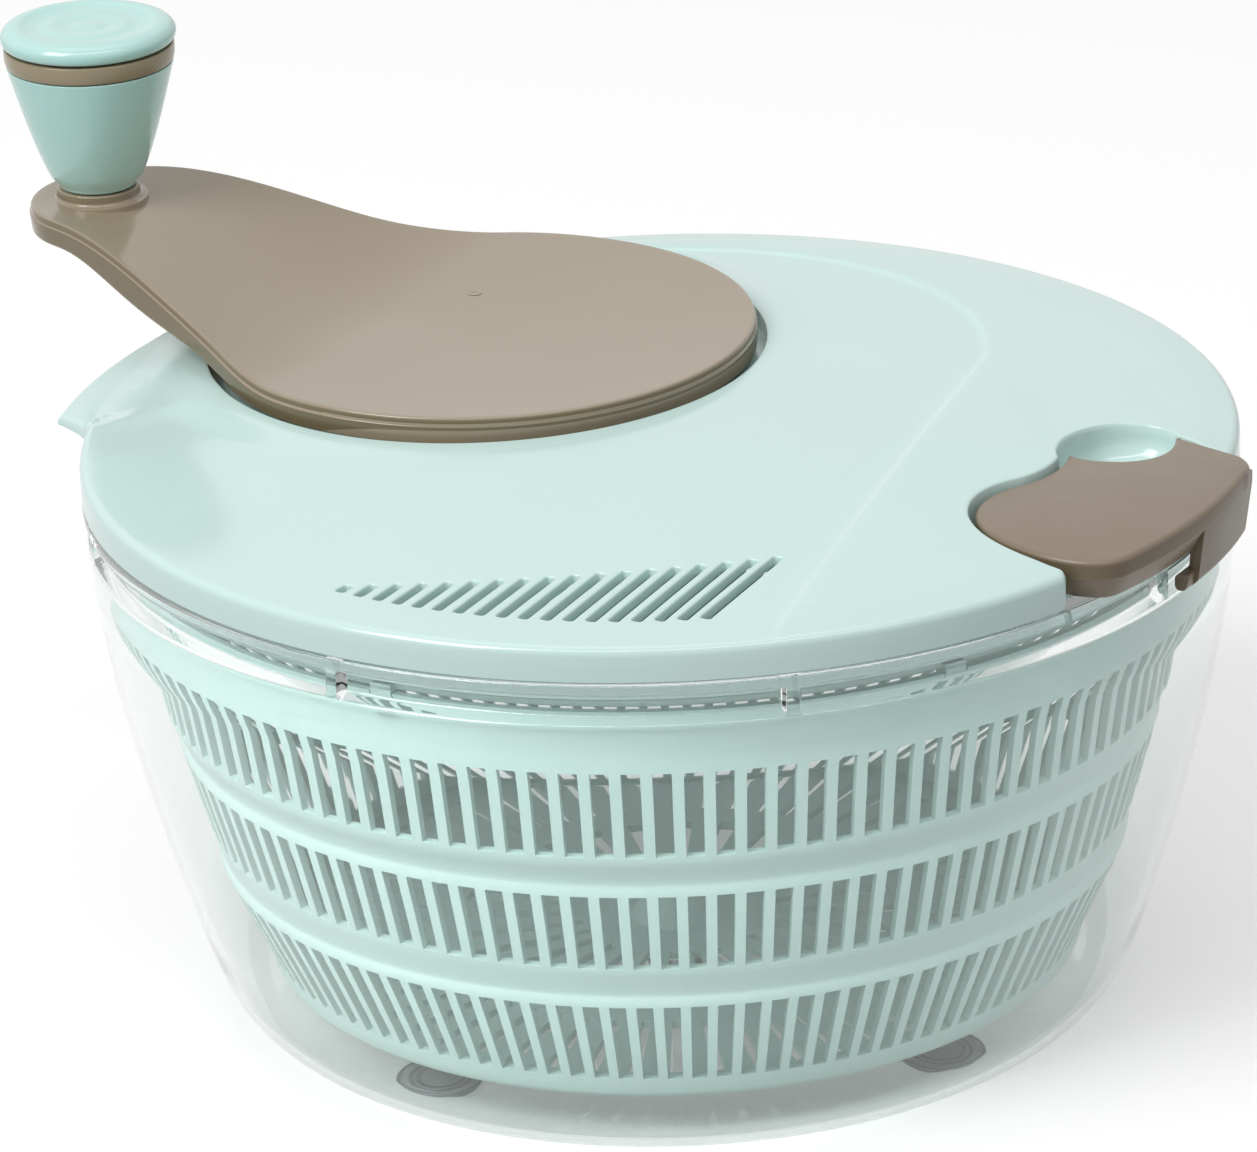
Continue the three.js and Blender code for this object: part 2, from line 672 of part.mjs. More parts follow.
function ventOutline(index) {
  const share = index / (ventCount - 1);
  const outer = polar(lidRadius - ventInset, ventFirst + (ventLast - ventFirst) * share);
  const inner = new THREE.Vector2(ventLineStart + (ventLineEnd - ventLineStart) * share, 0);
  inner.y = ventLineBow * (inner.x - ventLineStart / 2) ** 2 - (lidRadius - ventLineInset);
  const along = inner.clone().sub(outer).normalize();
  const across = new THREE.Vector2(-along.y, along.x).multiplyScalar(ventWidth / 2);
  const corner = (end, side) => end.clone().addScaledVector(across, side);
  return new THREE.Shape([corner(outer, -1), corner(outer, 1), corner(inner, 1), corner(inner, -1)]);
}

// The pointed lip. Its top slopes up from the tip towards the crank's well.
function beak() {
  const tip = polar(lidRadius + beakReach, beakAngle);
  const near = polar(lidRadius - lidWall / 2, beakAngle + 7);
  const nearBend = polar(lidRadius + lidWall / 2, beakAngle + 3);
  const far = polar(lidRadius, beakAngle - 29.4);
  const farBend = polar(lidRadius + beakBulge, beakAngle - 15.4);
  const shape = new THREE.Shape();
  shape.moveTo(tip.x, tip.y);
  shape.quadraticCurveTo(nearBend.x, nearBend.y, near.x, near.y);
  for (const angle of [200, 150]) {
    const corner = polar(wellRadius, angle).add(crankAxis);
    shape.lineTo(corner.x, corner.y);
  }
  shape.lineTo(far.x, far.y);
  shape.quadraticCurveTo(farBend.x, farBend.y, tip.x, tip.y);
  const tipTop = lidEdge - beakDrop;
  const lip = prism(shape, tipTop - beakTipThickness, discTop, 5);
  const sky = moved(block(2 * lidRadius, 2 * lidRadius, 0, lidRadius), lidRadius - over, 0)
    .rotate([0, -beakSlope, 0]);
  return lip.subtract(moved(sky, tip.x, 0, tipTop)).subtract(underCrown(lidWall, lidRadius - lidWall));
}

// A low raised panel with a round far corner and a straight side that runs down to the lid's front.
function raisedPanel() {
  const { x, y, radius } = panelRound;
  const shape = new THREE.Shape();
  shape.moveTo(-lidRadius, lidRadius);
  shape.lineTo(-lidRadius, -lidRadius);
  shape.lineTo(panelSide.x, panelSide.y);
  shape.absarc(x, y, radius, radians(-8), radians(80));
  const low = lidEdge - lidWall;
  return prism(shape, low, lidEdge + crownRise + over, 6)
    .intersect(underCrown(-panelRise, lidRadius - 2 * edgeRounding));
}

function scoop(extra) {
  const ball = new THREE.SphereGeometry(1, 12, 6);
  ball.rotateX(Math.PI / 2);
  ball.scale(scoopRadii.x + extra, scoopRadii.y + extra, scoopRadii.z + extra);
  return solidOf(ball.translate(scoopCentre.x, scoopCentre.y, lidEdge + scoopLevel));
}

function lidCover() {
  const under = [crownRadii[1], crownRadii[0]].map((r) => [r, domeAt(r) - lidWall]);
  const shelf = lidEdge - lidWall;
  const shell = revolved([
    ...crownRadii.map((r) => [r, domeAt(r)]),
    [lidRadius, lidEdge - edgeRounding], [lidRadius, bowlHeight + gap],
    [lidRadius - lidWall, bowlHeight + gap], [lidRadius - lidWall, shelf - edgeRounding / 4],
    [spigotOuter, shelf], [spigotOuter, bowlHeight - spigotDepth],
    [spigotInner, bowlHeight - spigotDepth], [spigotInner, domeAt(spigotInner) - lidWall],
    ...under,
  ]);
  const atCrank = (solid) => moved(solid, crankAxis.x, crankAxis.y);
  const atLatch = (solid) => turned(moved(solid, lidRadius, 0), latchBearing);
  const topmost = discTop;

  // moulded on the shell: the well for the disc with its raised lip, its bearing, the gear case's
  // wall, screw bosses, the pans under the latch and the finger scoop
  const wellOuter = wellRadius + lidWall;
  const cup = atCrank(revolved([
    [0, wellUnderside], [wellOuter, wellUnderside], [wellOuter + collarFlare, lidEdge - lidWall],
    [wellOuter, collarTop - edgeRounding / 3], [wellRadius + edgeRounding / 3, collarTop], [0, collarTop],
  ], 36));
  const bearing = atCrank(rod(crankHubRadius + gap + bearingWall, gearTop + gap, wellFloor - lidWall / 2));
  const axleBoss = rod(axleRadius + bearingWall, gearTop + gap, wellFloor - lidWall / 2);
  const caseWall = prism(caseOutline(gearCaseWall), coverTop + gap, wellFloor)
    .subtract(prism(caseOutline(0), coverTop, wellFloor + over));
  const bosses = bossPlaces().map((place) => moved(
    rod(bossRadius, coverTop + gap, wellFloor, 8), place.x, place.y));
  const latchPan = atLatch(prism(latchOutline(latchClearance + panWall), latchFloorBottom, lidEdge + over))
    .intersect(rod(spigotInner + spigotWall / 2, 0, topmost, facets));
  const inside = wasm.Manifold.union([latchPan, atLatch(scoop(panWall)), caseWall, ...bosses])
    .intersect(underCrown(lidWall / 2, lidRadius - lidWall / 2));
  const body = wasm.Manifold.union([shell, raisedPanel(), inside, cup, bearing, axleBoss, beak()]);

  // cut: the well, the latch's recess and its gap in the skirt, the scoop, vents and holes
  const gapStart = latchBearing + latchStart - skirtCutMargin;
  const gapEnd = latchBearing + hookEnd + 2 * skirtCutMargin;
  const skirtGap = wedge(latchRadius + over, gapStart, gapEnd, bowlHeight, topmost)
    .subtract(rod(spigotOuter + gap, 0, topmost + over, facets));
  const pivotHole = moved(
    rod(latchBossRadius + gap, latchFloorBottom - over, topmost, 16), latchPivot.x, latchPivot.y);
  const cuts = [
    atCrank(rod(wellRadius, wellFloor, topmost + over, 36)),
    atCrank(rod(crankHubRadius + gap, gearTop, topmost)),
    rod(axleRadius + gap, gearTop, axleTop, 16),
    atLatch(prism(latchOutline(latchClearance), latchFloorTop, topmost)),
    skirtGap,
    atLatch(scoop(0)),
    atLatch(pivotHole),
    ...Array.from({ length: ventCount }, (_, i) => prism(ventOutline(i), bowlHeight, topmost)),
    ...bossPlaces().map((place) => moved(
      rod(screwRadius + gap, coverTop, coverTop + screwLength, 8), place.x, place.y)),
  ];
  return body.subtract(wasm.Manifold.union(cuts));
}

// ---------------------------------------------------------------- crank
// The outline in polar form about the crank's axis: the larger, softly joined, of the disc and the arm.
function crankReach(angle) {
  const sine = Math.abs(Math.sin(angle));
  const cosine = Math.cos(angle);
  if (cosine <= 0) return discRadius;
  // the arm's straight side is tangent to its round tip
  const slope = Math.sqrt(1 + armFlare ** 2);
  const tangent = new THREE.Vector2(tipCentre + (tipRadius * armFlare) / slope, tipRadius / slope);
  const side = (tangent.y + armFlare * tangent.x) / (sine + armFlare * cosine);
  const chord = Math.sqrt(Math.max(0, tipRadius ** 2 - (tipCentre * sine) ** 2));
  const arm = sine / cosine < tangent.y / tangent.x ? tipCentre * cosine + chord : side;
  return armFillet * Math.log(Math.exp(discRadius / armFillet) + Math.exp(arm / armFillet));
}

function armHeight(along) {
  return armRise * THREE.MathUtils.smoothstep(along, armRiseStart, armRiseEnd);
}

// The edge is turned down, and reaches lower along the slope of the arm.
function edgeDepth(along) {
  const share = THREE.MathUtils.smoothstep(along, slopeSkirtStart, armRiseEnd);
  return crankSkirt + slopeSkirt * 4 * share * (1 - share);
}

function crankArm() {
  const half = 22;
  const sides = 2 * half;
  // each ring: its share of the outline's reach, inset from the outline, and drop below the top surface
  const rings = [
    { share: 0.5, inset: 0, drop: () => 0 },
    { share: 1, inset: 1.2, drop: () => 0 },
    { share: 1, inset: 0, drop: () => 1.2 },
    { share: 1, inset: 0.5, drop: edgeDepth },
    { share: 1, inset: crankShell, drop: edgeDepth },
    { share: 1, inset: crankShell, drop: () => crankShell },
    { share: 0.6, inset: 0, drop: () => crankShell },
  ];
  const points = [0, 0, -dish];
  for (const { share, inset, drop } of rings) {
    for (let i = 0; i < sides; i += 1) {
      // corners crowd towards the arm's round tip
      const step = (i - half) / half;
      const angle = Math.sign(step) * Math.PI * Math.abs(step) ** 1.5;
      const radius = crankReach(angle) * share - inset;
      const along = radius * Math.cos(angle);
      const hollow = dish * (1 - share ** 2);
      points.push(along, radius * Math.sin(angle), armHeight(along) - hollow - drop(along));
    }
  }
  points.push(0, 0, -dish - crankShell);
  const lastPoint = points.length / 3 - 1;
  const at = (ring, i) => 1 + ring * sides + (i % sides);
  const faces = [];
  for (let i = 0; i < sides; i += 1) {
    faces.push(0, at(0, i), at(0, i + 1));
    for (let ring = 0; ring + 1 < rings.length; ring += 1) {
      faces.push(at(ring, i), at(ring + 1, i), at(ring + 1, i + 1));
      faces.push(at(ring, i), at(ring + 1, i + 1), at(ring, i + 1));
    }
    faces.push(at(rings.length - 1, i), lastPoint, at(rings.length - 1, i + 1));
  }
  const geometry = new THREE.BufferGeometry();
  geometry.setAttribute('position', new THREE.BufferAttribute(new Float32Array(points), 3));
  geometry.setIndex(faces);

  // hub and hexagonal key under the disc, boss and collar for the knob's axle
  const down = (level) => level - discTop;
  const knee = armHeight(armLength);
  const hub = rod(crankHubRadius, down(gearTop + gap), -dish - crankShell / 2, 16);
  const key = hexagon(crankFlat, down(gearBottom + gap), down(gearTop + gap));
  const boss = moved(rod(knobBossRadius, knee - knobBossDepth, knee - crankShell / 2, 12), armLength, 0);
  const collar = moved(rod(
    collarRadius, knee - crankShell / 2, knee + collarHeight, 20, collarRadius - gap), armLength, 0);
  const tapped = rod(screwRadius + gap, down(gearBottom), down(gearBottom) + screwLength + over, 8);
  const bore = rod(knobAxleRadius + gap, knee - knobBossDepth - over, knee + collarHeight + over, 10);
  return wasm.Manifold.union([solidOf(geometry), hub, key, boss, collar])
    .subtract(wasm.Manifold.union([tapped, moved(bore, armLength, 0)]));
}

// ---------------------------------------------------------------- knob, from the arm's collar up
function knobBody() {
  const headSeat = knobBodyHeight - knobSeatDepth;
  const spigotTop = knobBodyHeight + knobRingHeight + gap;
  const flare = steps(4, 0, 1).map((share) => [
    knobFootRadius + gap + (knobTopRadius - knobFootRadius - gap) * share ** 0.95, knobBodyHeight * share]);
  return revolved([
    [knobAxleRadius + gap, 0], ...flare, [knobSpigotRadius, knobBodyHeight], [knobSpigotRadius, spigotTop],
    [knobAxleHead + gap, spigotTop], [knobAxleHead + gap, headSeat], [knobAxleRadius + gap, headSeat],
  ], 20);
}

function knobRing() {
  const low = knobBodyHeight + gap;
  const high = knobBodyHeight + knobRingHeight;
  return revolved([
    [knobSpigotRadius + gap, low], [knobTopRadius, low], [knobTopRadius + gap, high],
    [knobSpigotRadius + gap, high],
  ], 20);
}

// A shallow cap with a rounded edge, a raised rim, an inner ring and a small middle.
function knobCap() {
  const low = knobBodyHeight + knobRingHeight + 2 * gap;
  const top = low + knobCapHeight;
  return revolved([
    [0, top - 0.6], [4, top - 1.1], [8.5, top - 0.7], [11, top - 1.1], [knobCapRadius - 4.6, top],
    [knobCapRadius - 1.6, top - 0.8], [knobCapRadius, top - 2.6], [knobCapRadius - 0.8, low], [0, low],
  ], 20);
}

function knobAxle() {
  const foot = -collarHeight - knobBossDepth + gap;
  const head = knobBodyHeight - knobSeatDepth + gap;
  const domed = head + screwHeadHeight;
  return revolved([
    [0, foot], [knobAxleRadius, foot], [knobAxleRadius, head], [knobAxleHead, head],
    [knobAxleHead, domed], [0, domed + gap],
  ], 10);
}

// ---------------------------------------------------------------- drive plate, axle and washers
function drivePlate() {
  const disc = rod(plateRadius, plateBottom, plateTop, facets);
  const hub = rod(plateHubRadius, plateBottom - plateHubDepth, coverBottom - 2 * gap, 16);
  const lug = block(lugLength, lugWidth, plateBottom - lugDepth + gap, plateTop);
  const lugs = around(driveLugs).map(
    (angle) => turned(moved(lug, basketRimRadius - lugLength / 2, 0), angle));
  const slotInner = plateHubRadius + plateSlotMargin;
  const slotLength = plateRadius - plateSlotMargin - slotInner;
  const slot = block(slotLength, plateSlotWidth, plateBottom - over, plateTop + over);
  const slots = around(plateSlots, 180 / plateSlots).map(
    (angle) => turned(moved(slot, slotInner + slotLength / 2, 0), angle));
  const keyhole = hexagon(driveFlat + 2 * gap, plateBottom - plateHubDepth - over, coverBottom);
  return wasm.Manifold.union([disc, hub, ...lugs]).subtract(wasm.Manifold.union([...slots, keyhole]));
}

function centreAxle() {
  const tapped = rod(screwRadius + gap, pinionBottom - over, pinionBottom + screwLength + over, 8);
  return rod(axleRadius, pinionBottom, axleTop - gap, 12).subtract(tapped);
}

const washer = (outer) => tube(outer, screwRadius + gap, -washerThickness, 0, 8);

// ---------------------------------------------------------------- latch, in its own frame
function latch() {
  const underside = lidEdge - latchPlate;
  const latchTop = lidEdge + latchProud;
  const aboutLid = (profile, start, end) => moved(
    revolved(profile, 60).intersect(wedge(latchRadius + over, start, end, 0, lidEdge)), -lidRadius, 0);
  const plate = prism(latchOutline(0), underside, latchTop, 5);
  const foot = bowlHeight + fasciaFoot;
  const fascia = aboutLid([
    [latchRadius - fasciaLean - fasciaWall, foot], [latchRadius - fasciaLean, foot],
    [latchRadius, underside + over], [latchRadius - fasciaWall, underside + over],
  ], latchStart, fasciaEnd);
  const hookFoot = bowlHeight - hookDrop;
  const hookInner = lidRadius + 2 * gap;
  const hookOuter = latchRadius - hookLean;
  const hook = aboutLid([
    [hookInner, hookFoot + hookRound / 2], [hookInner + hookRound / 2, hookFoot],
    [hookOuter - hookRound, hookFoot], [hookOuter, hookFoot + hookRound],
    [latchRadius, underside + over], [latchRadius - fasciaLean, underside + over],
    [latchRadius - fasciaLean, hookFoot + hookTooth], [hookInner, hookFoot + hookTooth],
  ], hookStart, hookEnd);
  const boss = moved(
    rod(latchBossRadius, latchFloorBottom - gap, underside + over, 16), latchPivot.x, latchPivot.y);
  const bore = moved(
    rod(screwRadius + gap, latchFloorBottom - over, underside + over, 10), latchPivot.x, latchPivot.y);
  return wasm.Manifold.union([plate, fascia, hook, boss]).subtract(bore);
}

// ---------------------------------------------------------------- assembly
function piece(name, solid, material) {
  const mesh = new THREE.Mesh(geometryOf(solid), material);
  mesh.name = name;
  return mesh;
}

function placed(object, x, y, z = 0, degrees = 0) {
  object.position.set(x, y, z);
  object.rotation.z = radians(degrees);
  return object;
}

const spinner = new THREE.Group();

// bowl and its feet
spinner.add(piece('bowl', bowl(), clear));
around(feetCount, feetAngle).forEach((angle, i) => {
  const place = polar(feetCircle, angle);
  spinner.add(placed(piece(`foot_${i + 1}`, foot(), rubber), place.x, place.y));
});

// basket
spinner.add(piece('basket', basket(), mint));

// lid, gear case and axle
spinner.add(piece('lid_cover', lidCover(), mint));
spinner.add(piece('gear_cover', gearCover(), white));
bossPlaces().forEach((place, i) => {
  const part = screw(screwRadius, screwLength, screwHeadRadius, screwHeadHeight);
  spinner.add(placed(piece(`cover_screw_${i + 1}`, part, steel), place.x, place.y, coverBottom - gap));
});
spinner.add(piece('centre_axle', centreAxle(), steel));

// driven parts on the axle
spinner.add(piece('drive_pinion', drivePinion(), white));
spinner.add(piece('drive_plate', drivePlate(), mint));
spinner.add(placed(piece('plate_washer', washer(pinionHubRadius), steel), 0, 0, pinionBottom - gap));
const plateScrew = screw(screwRadius, screwLength, largeHeadRadius, screwHeadHeight);
spinner.add(placed(
  piece('plate_screw', plateScrew, steel), 0, 0, pinionBottom - washerThickness - 2 * gap));

// crank, its gear and its knob, about the crank's axis
const crank = placed(new THREE.Group(), crankAxis.x, crankAxis.y, 0, armAzimuth);
crank.add(placed(piece('crank_arm', crankArm(), taupe), 0, 0, discTop));
crank.add(piece('drive_gear', driveGear(), white));
crank.add(placed(piece('crank_washer', washer(crankHubRadius), steel), 0, 0, gearBottom - gap));
const crankScrew = screw(screwRadius, screwLength, largeHeadRadius, screwHeadHeight);
crank.add(placed(
  piece('crank_screw', crankScrew, steel), 0, 0, gearBottom - washerThickness - 2 * gap));
const knob = placed(new THREE.Group(), armLength, 0, discTop + armHeight(armLength) + collarHeight + gap);
knob.add(piece('knob_axle', knobAxle(), steel));
knob.add(piece('knob_body', knobBody(), mint));
knob.add(piece('knob_ring', knobRing(), taupe));
knob.add(piece('knob_cap', knobCap(), mint));
crank.add(knob);
spinner.add(crank);

// latch, in a group at its bearing on the lid's edge
const latchPlace = polar(lidRadius, latchBearing);
const latchGroup = placed(new THREE.Group(), latchPlace.x, latchPlace.y, 0, latchBearing);
const screwFace = latchFloorBottom - 2 * gap;
latchGroup.add(piece('latch', latch(), taupe));
latchGroup.add(placed(
  piece('latch_washer', washer(latchBossRadius + washerThickness), steel),
  latchPivot.x, latchPivot.y, screwFace));
const latchScrew = screw(screwRadius, latchPlate + washerThickness, screwHeadRadius, screwHeadHeight);
latchGroup.add(placed(
  piece('latch_screw', latchScrew, steel),
  latchPivot.x, latchPivot.y, screwFace - washerThickness - gap));
spinner.add(latchGroup);

export default spinner;
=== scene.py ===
"""A hand-cranked salad spinner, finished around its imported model: a clear bowl, a slotted basket, a lid
that carries a crank and a swinging latch, and the gears that turn the basket.

Lengths are in millimetres and bearings in degrees, +Z up, with the origin at the centre of the bowl's
underside; meshes are turned to metres when they are made. Faces are lists of corner numbers.
"""
from functools import partial

import bmesh
import bpy
import numpy as np
from mathutils import Matrix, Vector
from mathutils.geometry import delaunay_2d_cdt


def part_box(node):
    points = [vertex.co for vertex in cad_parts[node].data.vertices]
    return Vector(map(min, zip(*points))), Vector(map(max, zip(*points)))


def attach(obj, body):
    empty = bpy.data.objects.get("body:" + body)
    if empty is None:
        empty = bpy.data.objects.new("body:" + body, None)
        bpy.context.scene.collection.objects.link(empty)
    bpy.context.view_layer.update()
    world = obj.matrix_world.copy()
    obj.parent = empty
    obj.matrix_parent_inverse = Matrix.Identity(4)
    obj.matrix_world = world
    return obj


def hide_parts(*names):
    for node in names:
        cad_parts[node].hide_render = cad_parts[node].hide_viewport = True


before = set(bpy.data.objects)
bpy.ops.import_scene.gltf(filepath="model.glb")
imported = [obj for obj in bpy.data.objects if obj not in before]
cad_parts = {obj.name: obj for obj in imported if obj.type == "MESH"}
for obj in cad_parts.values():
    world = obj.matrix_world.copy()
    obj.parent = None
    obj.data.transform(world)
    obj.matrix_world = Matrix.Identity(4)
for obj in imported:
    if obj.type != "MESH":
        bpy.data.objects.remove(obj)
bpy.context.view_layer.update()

# ---- clear bowl
# One injection moulding in clear styrene acrylonitrile with a 2.2 mm wall. The base turns up through an
# oval corner into a wall that steepens to a shoulder; the neck is drawn in under the lip and stiffened
# by eight short ribs, and a tapered post in the middle of the floor carries the basket.
MM = 0.001
MERGE = 0.002  # corners closer than this are one


def box_mm(node):
    """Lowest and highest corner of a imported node, in millimetres."""
    low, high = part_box(node)
    return np.array(low) / MM, np.array(high) / MM


def polar(radius, bearings):
    """Plan points at the given distances and bearings from the origin."""
    angle = np.radians(bearings)
    return np.stack(np.broadcast_arrays(radius * np.cos(angle), radius * np.sin(angle)), -1)


def full_turn(sides):
    """Equal bearings round a full turn."""
    return np.linspace(0, 360, sides, endpoint=False)


def smooth_step(value, start, end):
    """0 before start, 1 after end, and three times the share squared less twice its cube between."""
    share = np.clip((value - start) / (end - start), 0, 1)
    return share * share * (3 - 2 * share)


def rounded(line, closed=False, steps=4):
    """Softens the corners of a line of points (across, up, radius). A corner with a radius becomes a
    parabola: it leaves the line one radius before the corner, is pulled towards it, and joins again one
    radius after it, or at 0.45 of a side that is too short. A radius of 0 keeps the corner sharp."""
    line = np.asarray(line, float)
    corner, radius = line[:, :2], line[:, 2].copy()
    if not closed:
        radius[[0, -1]] = 0
    sides = [np.roll(corner, shift, 0) - corner for shift in (1, -1)]
    lengths = [np.maximum(np.linalg.norm(side, axis=1), 1e-9) for side in sides]
    start, end = [corner + side * np.minimum(0.45, radius / length)[:, None]
                  for side, length in zip(sides, lengths)]
    t = np.linspace(0, 1, steps + 1)[None, :, None]
    curve = (1 - t) ** 2 * start[:, None] + 2 * t * (1 - t) * corner[:, None] + t ** 2 * end[:, None]
    kept = (radius > 0)[:, None] | (np.arange(steps + 1) == 0)[None, :]
    return curve[kept]


def plain_line(across, up):
    """A line of points with sharp corners."""
    return np.stack([across, up, np.zeros_like(across)], -1)


def grid_faces(rows, columns, open_sides=False, kept=None):
    """Four-cornered faces of a grid of points stored row by row. The last column joins the first unless
    the sides are open; where kept is false, a face is left out."""
    row, column = np.meshgrid(np.arange(rows - 1), np.arange(columns - open_sides), indexing="ij")
    after = (column + 1) % columns
    faces = np.stack([row * columns + column, row * columns + after,
                      (row + 1) * columns + after, (row + 1) * columns + column], -1)
    return (faces.reshape(-1, 4) if kept is None else faces[kept]).tolist()


def turned(profile, bearings, centre=(0, 0)):
    """A profile of (radius, height) points carried round an upright axis: each point goes to centre plus
    its radius along each bearing, so the result is a grid of one row per profile point."""
    radius, height = np.asarray(profile, float).T[:2]
    plan = polar(radius[:, None], bearings) + np.asarray(centre)[:2]
    points = np.concatenate([plan, np.broadcast_to(height[:, None, None], (*plan.shape[:2], 1))], -1)
    return points.reshape(-1, 3), grid_faces(len(radius), len(bearings))


def place_object(name, data, matrix=Matrix()):
    """An object of the scene with its data, at a place."""
    thing = bpy.data.objects.new(name, data)
    thing.matrix_world = matrix
    bpy.context.scene.collection.objects.link(thing)
    return thing


def make_piece(name, shape, material, body, replaces, sharp=38):
    """Makes a shape's points and faces into a piece: corners that coincide are merged, which closes the
    poles and seams, and edges stay sharp where their faces turn by more than the given degrees."""
    points, faces = shape
    mesh = bpy.data.meshes.new(name)
    mesh.from_pydata((np.asarray(points) * MM).tolist(), [], faces)
    work = bmesh.new()
    work.from_mesh(mesh)
    bmesh.ops.remove_doubles(work, verts=work.verts, dist=MERGE * MM)
    bmesh.ops.dissolve_degenerate(work, dist=MERGE * MM, edges=work.edges)
    work.to_mesh(mesh)
    work.free()
    mesh.shade_smooth()
    mesh.set_sharp_from_angle(angle=np.radians(sharp))
    mesh.materials.append(material)
    piece = place_object(name, mesh)
    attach(piece, body)
    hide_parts(replaces)
    return piece


def linear(code):
    """An sRGB hex colour as linear light: each share is divided by 12.92 below 0.04045, and is otherwise
    ((share + 0.055) / 1.055) to the power 2.4."""
    share = np.array([int(code[i:i + 2], 16) for i in (0, 2, 4)]) / 255
    return (*np.where(share <= 0.04045, share / 12.92, ((share + 0.055) / 1.055) ** 2.4).tolist(), 1.0)


def add_node(tree, kind, inputs=None, **settings):
    """Adds a shader node with its settings. An input takes a plain value, another node's output, or
    another node, whose first output in use it then takes."""
    node = tree.nodes.new("ShaderNode" + kind)
    for name, value in settings.items():
        setattr(node, name, value)
    for name, value in (inputs or {}).items():
        if isinstance(value, bpy.types.Node):
            value = next(output for output in value.outputs if output.enabled)
        if isinstance(value, bpy.types.NodeSocket):
            tree.links.new(value, node.inputs[name])
        else:
            node.inputs[name].default_value = value
    return node


def new_material(name):
    """A material with no nodes yet, and the function that adds a node to it."""
    material = bpy.data.materials.new(name)
    material.use_nodes = True
    material.node_tree.nodes.clear()
    return material, partial(add_node, material.node_tree)


def clear_san():
    """Clear styrene acrylonitrile, moulded against polished steel: bright and almost colourless, with an IOR
    of 1.57 and the faintest flow waves, 30 mm long, from filling the mould. Its tint turns greyer from 26 mm
    down to 4 mm above the underside, a painted shade that darkens the bowl's lower corner and floor. Lamps
    shine through it, and light that has been through many walls goes straight on."""
    material, add = new_material("clear_moulded_san")
    place = add("TexCoord").outputs["Object"]
    flow = add("TexNoise", {"Vector": place, "Scale": 1 / (30 * MM), "Detail": 1.0})
    waves = add("Bump", {"Strength": 0.02, "Distance": 0.2 * MM, "Height": flow})
    haze = add("MapRange", {
        "Value": flow, "From Min": 0.3, "From Max": 0.7, "To Min": 0.0, "To Max": 0.02})
    # painted shade: the glass's tint turns greyer from 26 mm down to 4 mm above the underside
    painted_base_shade = add("MapRange", {
        "Value": add("SeparateXYZ", {"Vector": place}).outputs["Z"],
        "From Min": 4 * MM, "From Max": 26 * MM, "To Min": 1.0, "To Max": 0.0})
    tint = add("Mix", {0: painted_base_shade, 6: linear("f5f8f8"), 7: linear("d5dbda")}, data_type="RGBA")
    body = add("BsdfPrincipled", {
        "Base Color": tint, "Roughness": haze, "IOR": 1.57, "Transmission Weight": 1.0, "Normal": waves})
    passed = add("BsdfTransparent", {"Color": linear("f8faf9")})
    path = add("LightPath")
    spent = add("Math", {0: path.outputs["Ray Depth"], 1: 5.5}, operation="GREATER_THAN")
    straight = add("Math", {0: path.outputs["Is Shadow Ray"], 1: spent}, operation="MAXIMUM")
    add("OutputMaterial", {
        "Surface": add("MixShader", {0: straight, 1: body, 2: passed})})
    return material


bowl_high = box_mm("bowl")[1]
lip_radius, bowl_top = bowl_high[0], bowl_high[2]
BOWL_WALL = 2.2
BASE_RADIUS = 92.5
CORNER_WIDTH, CORNER_HEIGHT = 16.0, 24.0
CORNER_SWEEP = 63.7  # the wall leaves the oval here
POST_TOP = 19.0
lip_low = bowl_top - 2.7
neck_low = lip_low - 5.4
neck_radius = lip_radius - 3.4
neck_inner = neck_radius - BOWL_WALL
shoulder_radius = lip_radius - 0.6
shoulder_z = neck_low - 1.6


def corner_line(inset, bearings):
    """The oval corner's outside, or a line inside it: out by the oval's half width times the sine, and
    up by its height less the remaining half height times the cosine."""
    turn = np.radians(bearings)
    return plain_line(BASE_RADIUS + (CORNER_WIDTH - inset) * np.sin(turn),
                      CORNER_HEIGHT - (CORNER_HEIGHT - inset) * np.cos(turn))


foot_radius, foot_z = corner_line(0, CORNER_SWEEP)[:2]


def wall_part(inset, heights):
    """The wall's line an inset inside its outside. From the corner to the shoulder, the radius grows as
    one minus the remaining share of the height to the power 1.5."""
    left = 1 - (heights - foot_z) / (shoulder_z - foot_z)
    return plain_line(foot_radius + (shoulder_radius - foot_radius) * (1 - left ** 1.5) - inset, heights)


sweep = np.linspace(0, CORNER_SWEEP, 14)
wall_heights = np.linspace(foot_z, shoulder_z, 22)
bowl_line = rounded([
    (0, 0, 0), *corner_line(0, sweep), *wall_part(0, wall_heights[1:-1]),
    (shoulder_radius, shoulder_z, 0.9), (neck_radius, neck_low, 0.7), (neck_radius, lip_low, 0.6),
    (lip_radius, lip_low, 0.5), (lip_radius, bowl_top, 0.9), (neck_inner, bowl_top, 0.8),
    (neck_inner, shoulder_z + 0.8, 2.0),
    *wall_part(BOWL_WALL, wall_heights[2:-2])[::-1], *corner_line(BOWL_WALL, sweep)[::-1],
    (8.6, BOWL_WALL, 2.4), (3.0, POST_TOP - 1.1, 0.9), (2.4, POST_TOP, 0.9), (0, POST_TOP, 0),
])
rib_bearings = -78.4 + 45 * np.arange(8)
rib_half, rib_soft = np.degrees(np.array([1.3, 1.0]) / shoulder_radius)
bearings = np.unique(np.round(np.concatenate([full_turn(420), *[
    (rib_bearings + side * (rib_half + rib_soft * share)) % 360
    for side in (-1, 1) for share in (-1, 0, 0.2, 0.5, 0.8, 1, 1.4, 2)]]), 4))
points, faces = turned(bowl_line, bearings)
points = points.reshape(len(bowl_line), len(bearings), 3)
from_rib = np.abs((bearings[:, None] - rib_bearings + 180) % 360 - 180).min(1)
on_rib = smooth_step(from_rib, rib_half + rib_soft, rib_half)
in_neck = (bowl_line[:, 1] > shoulder_z + 0.2) & (bowl_line[:, 1] < lip_low + 0.01) & (
    bowl_line[:, 0] > neck_inner + 1.5) & (bowl_line[:, 0] < shoulder_radius)
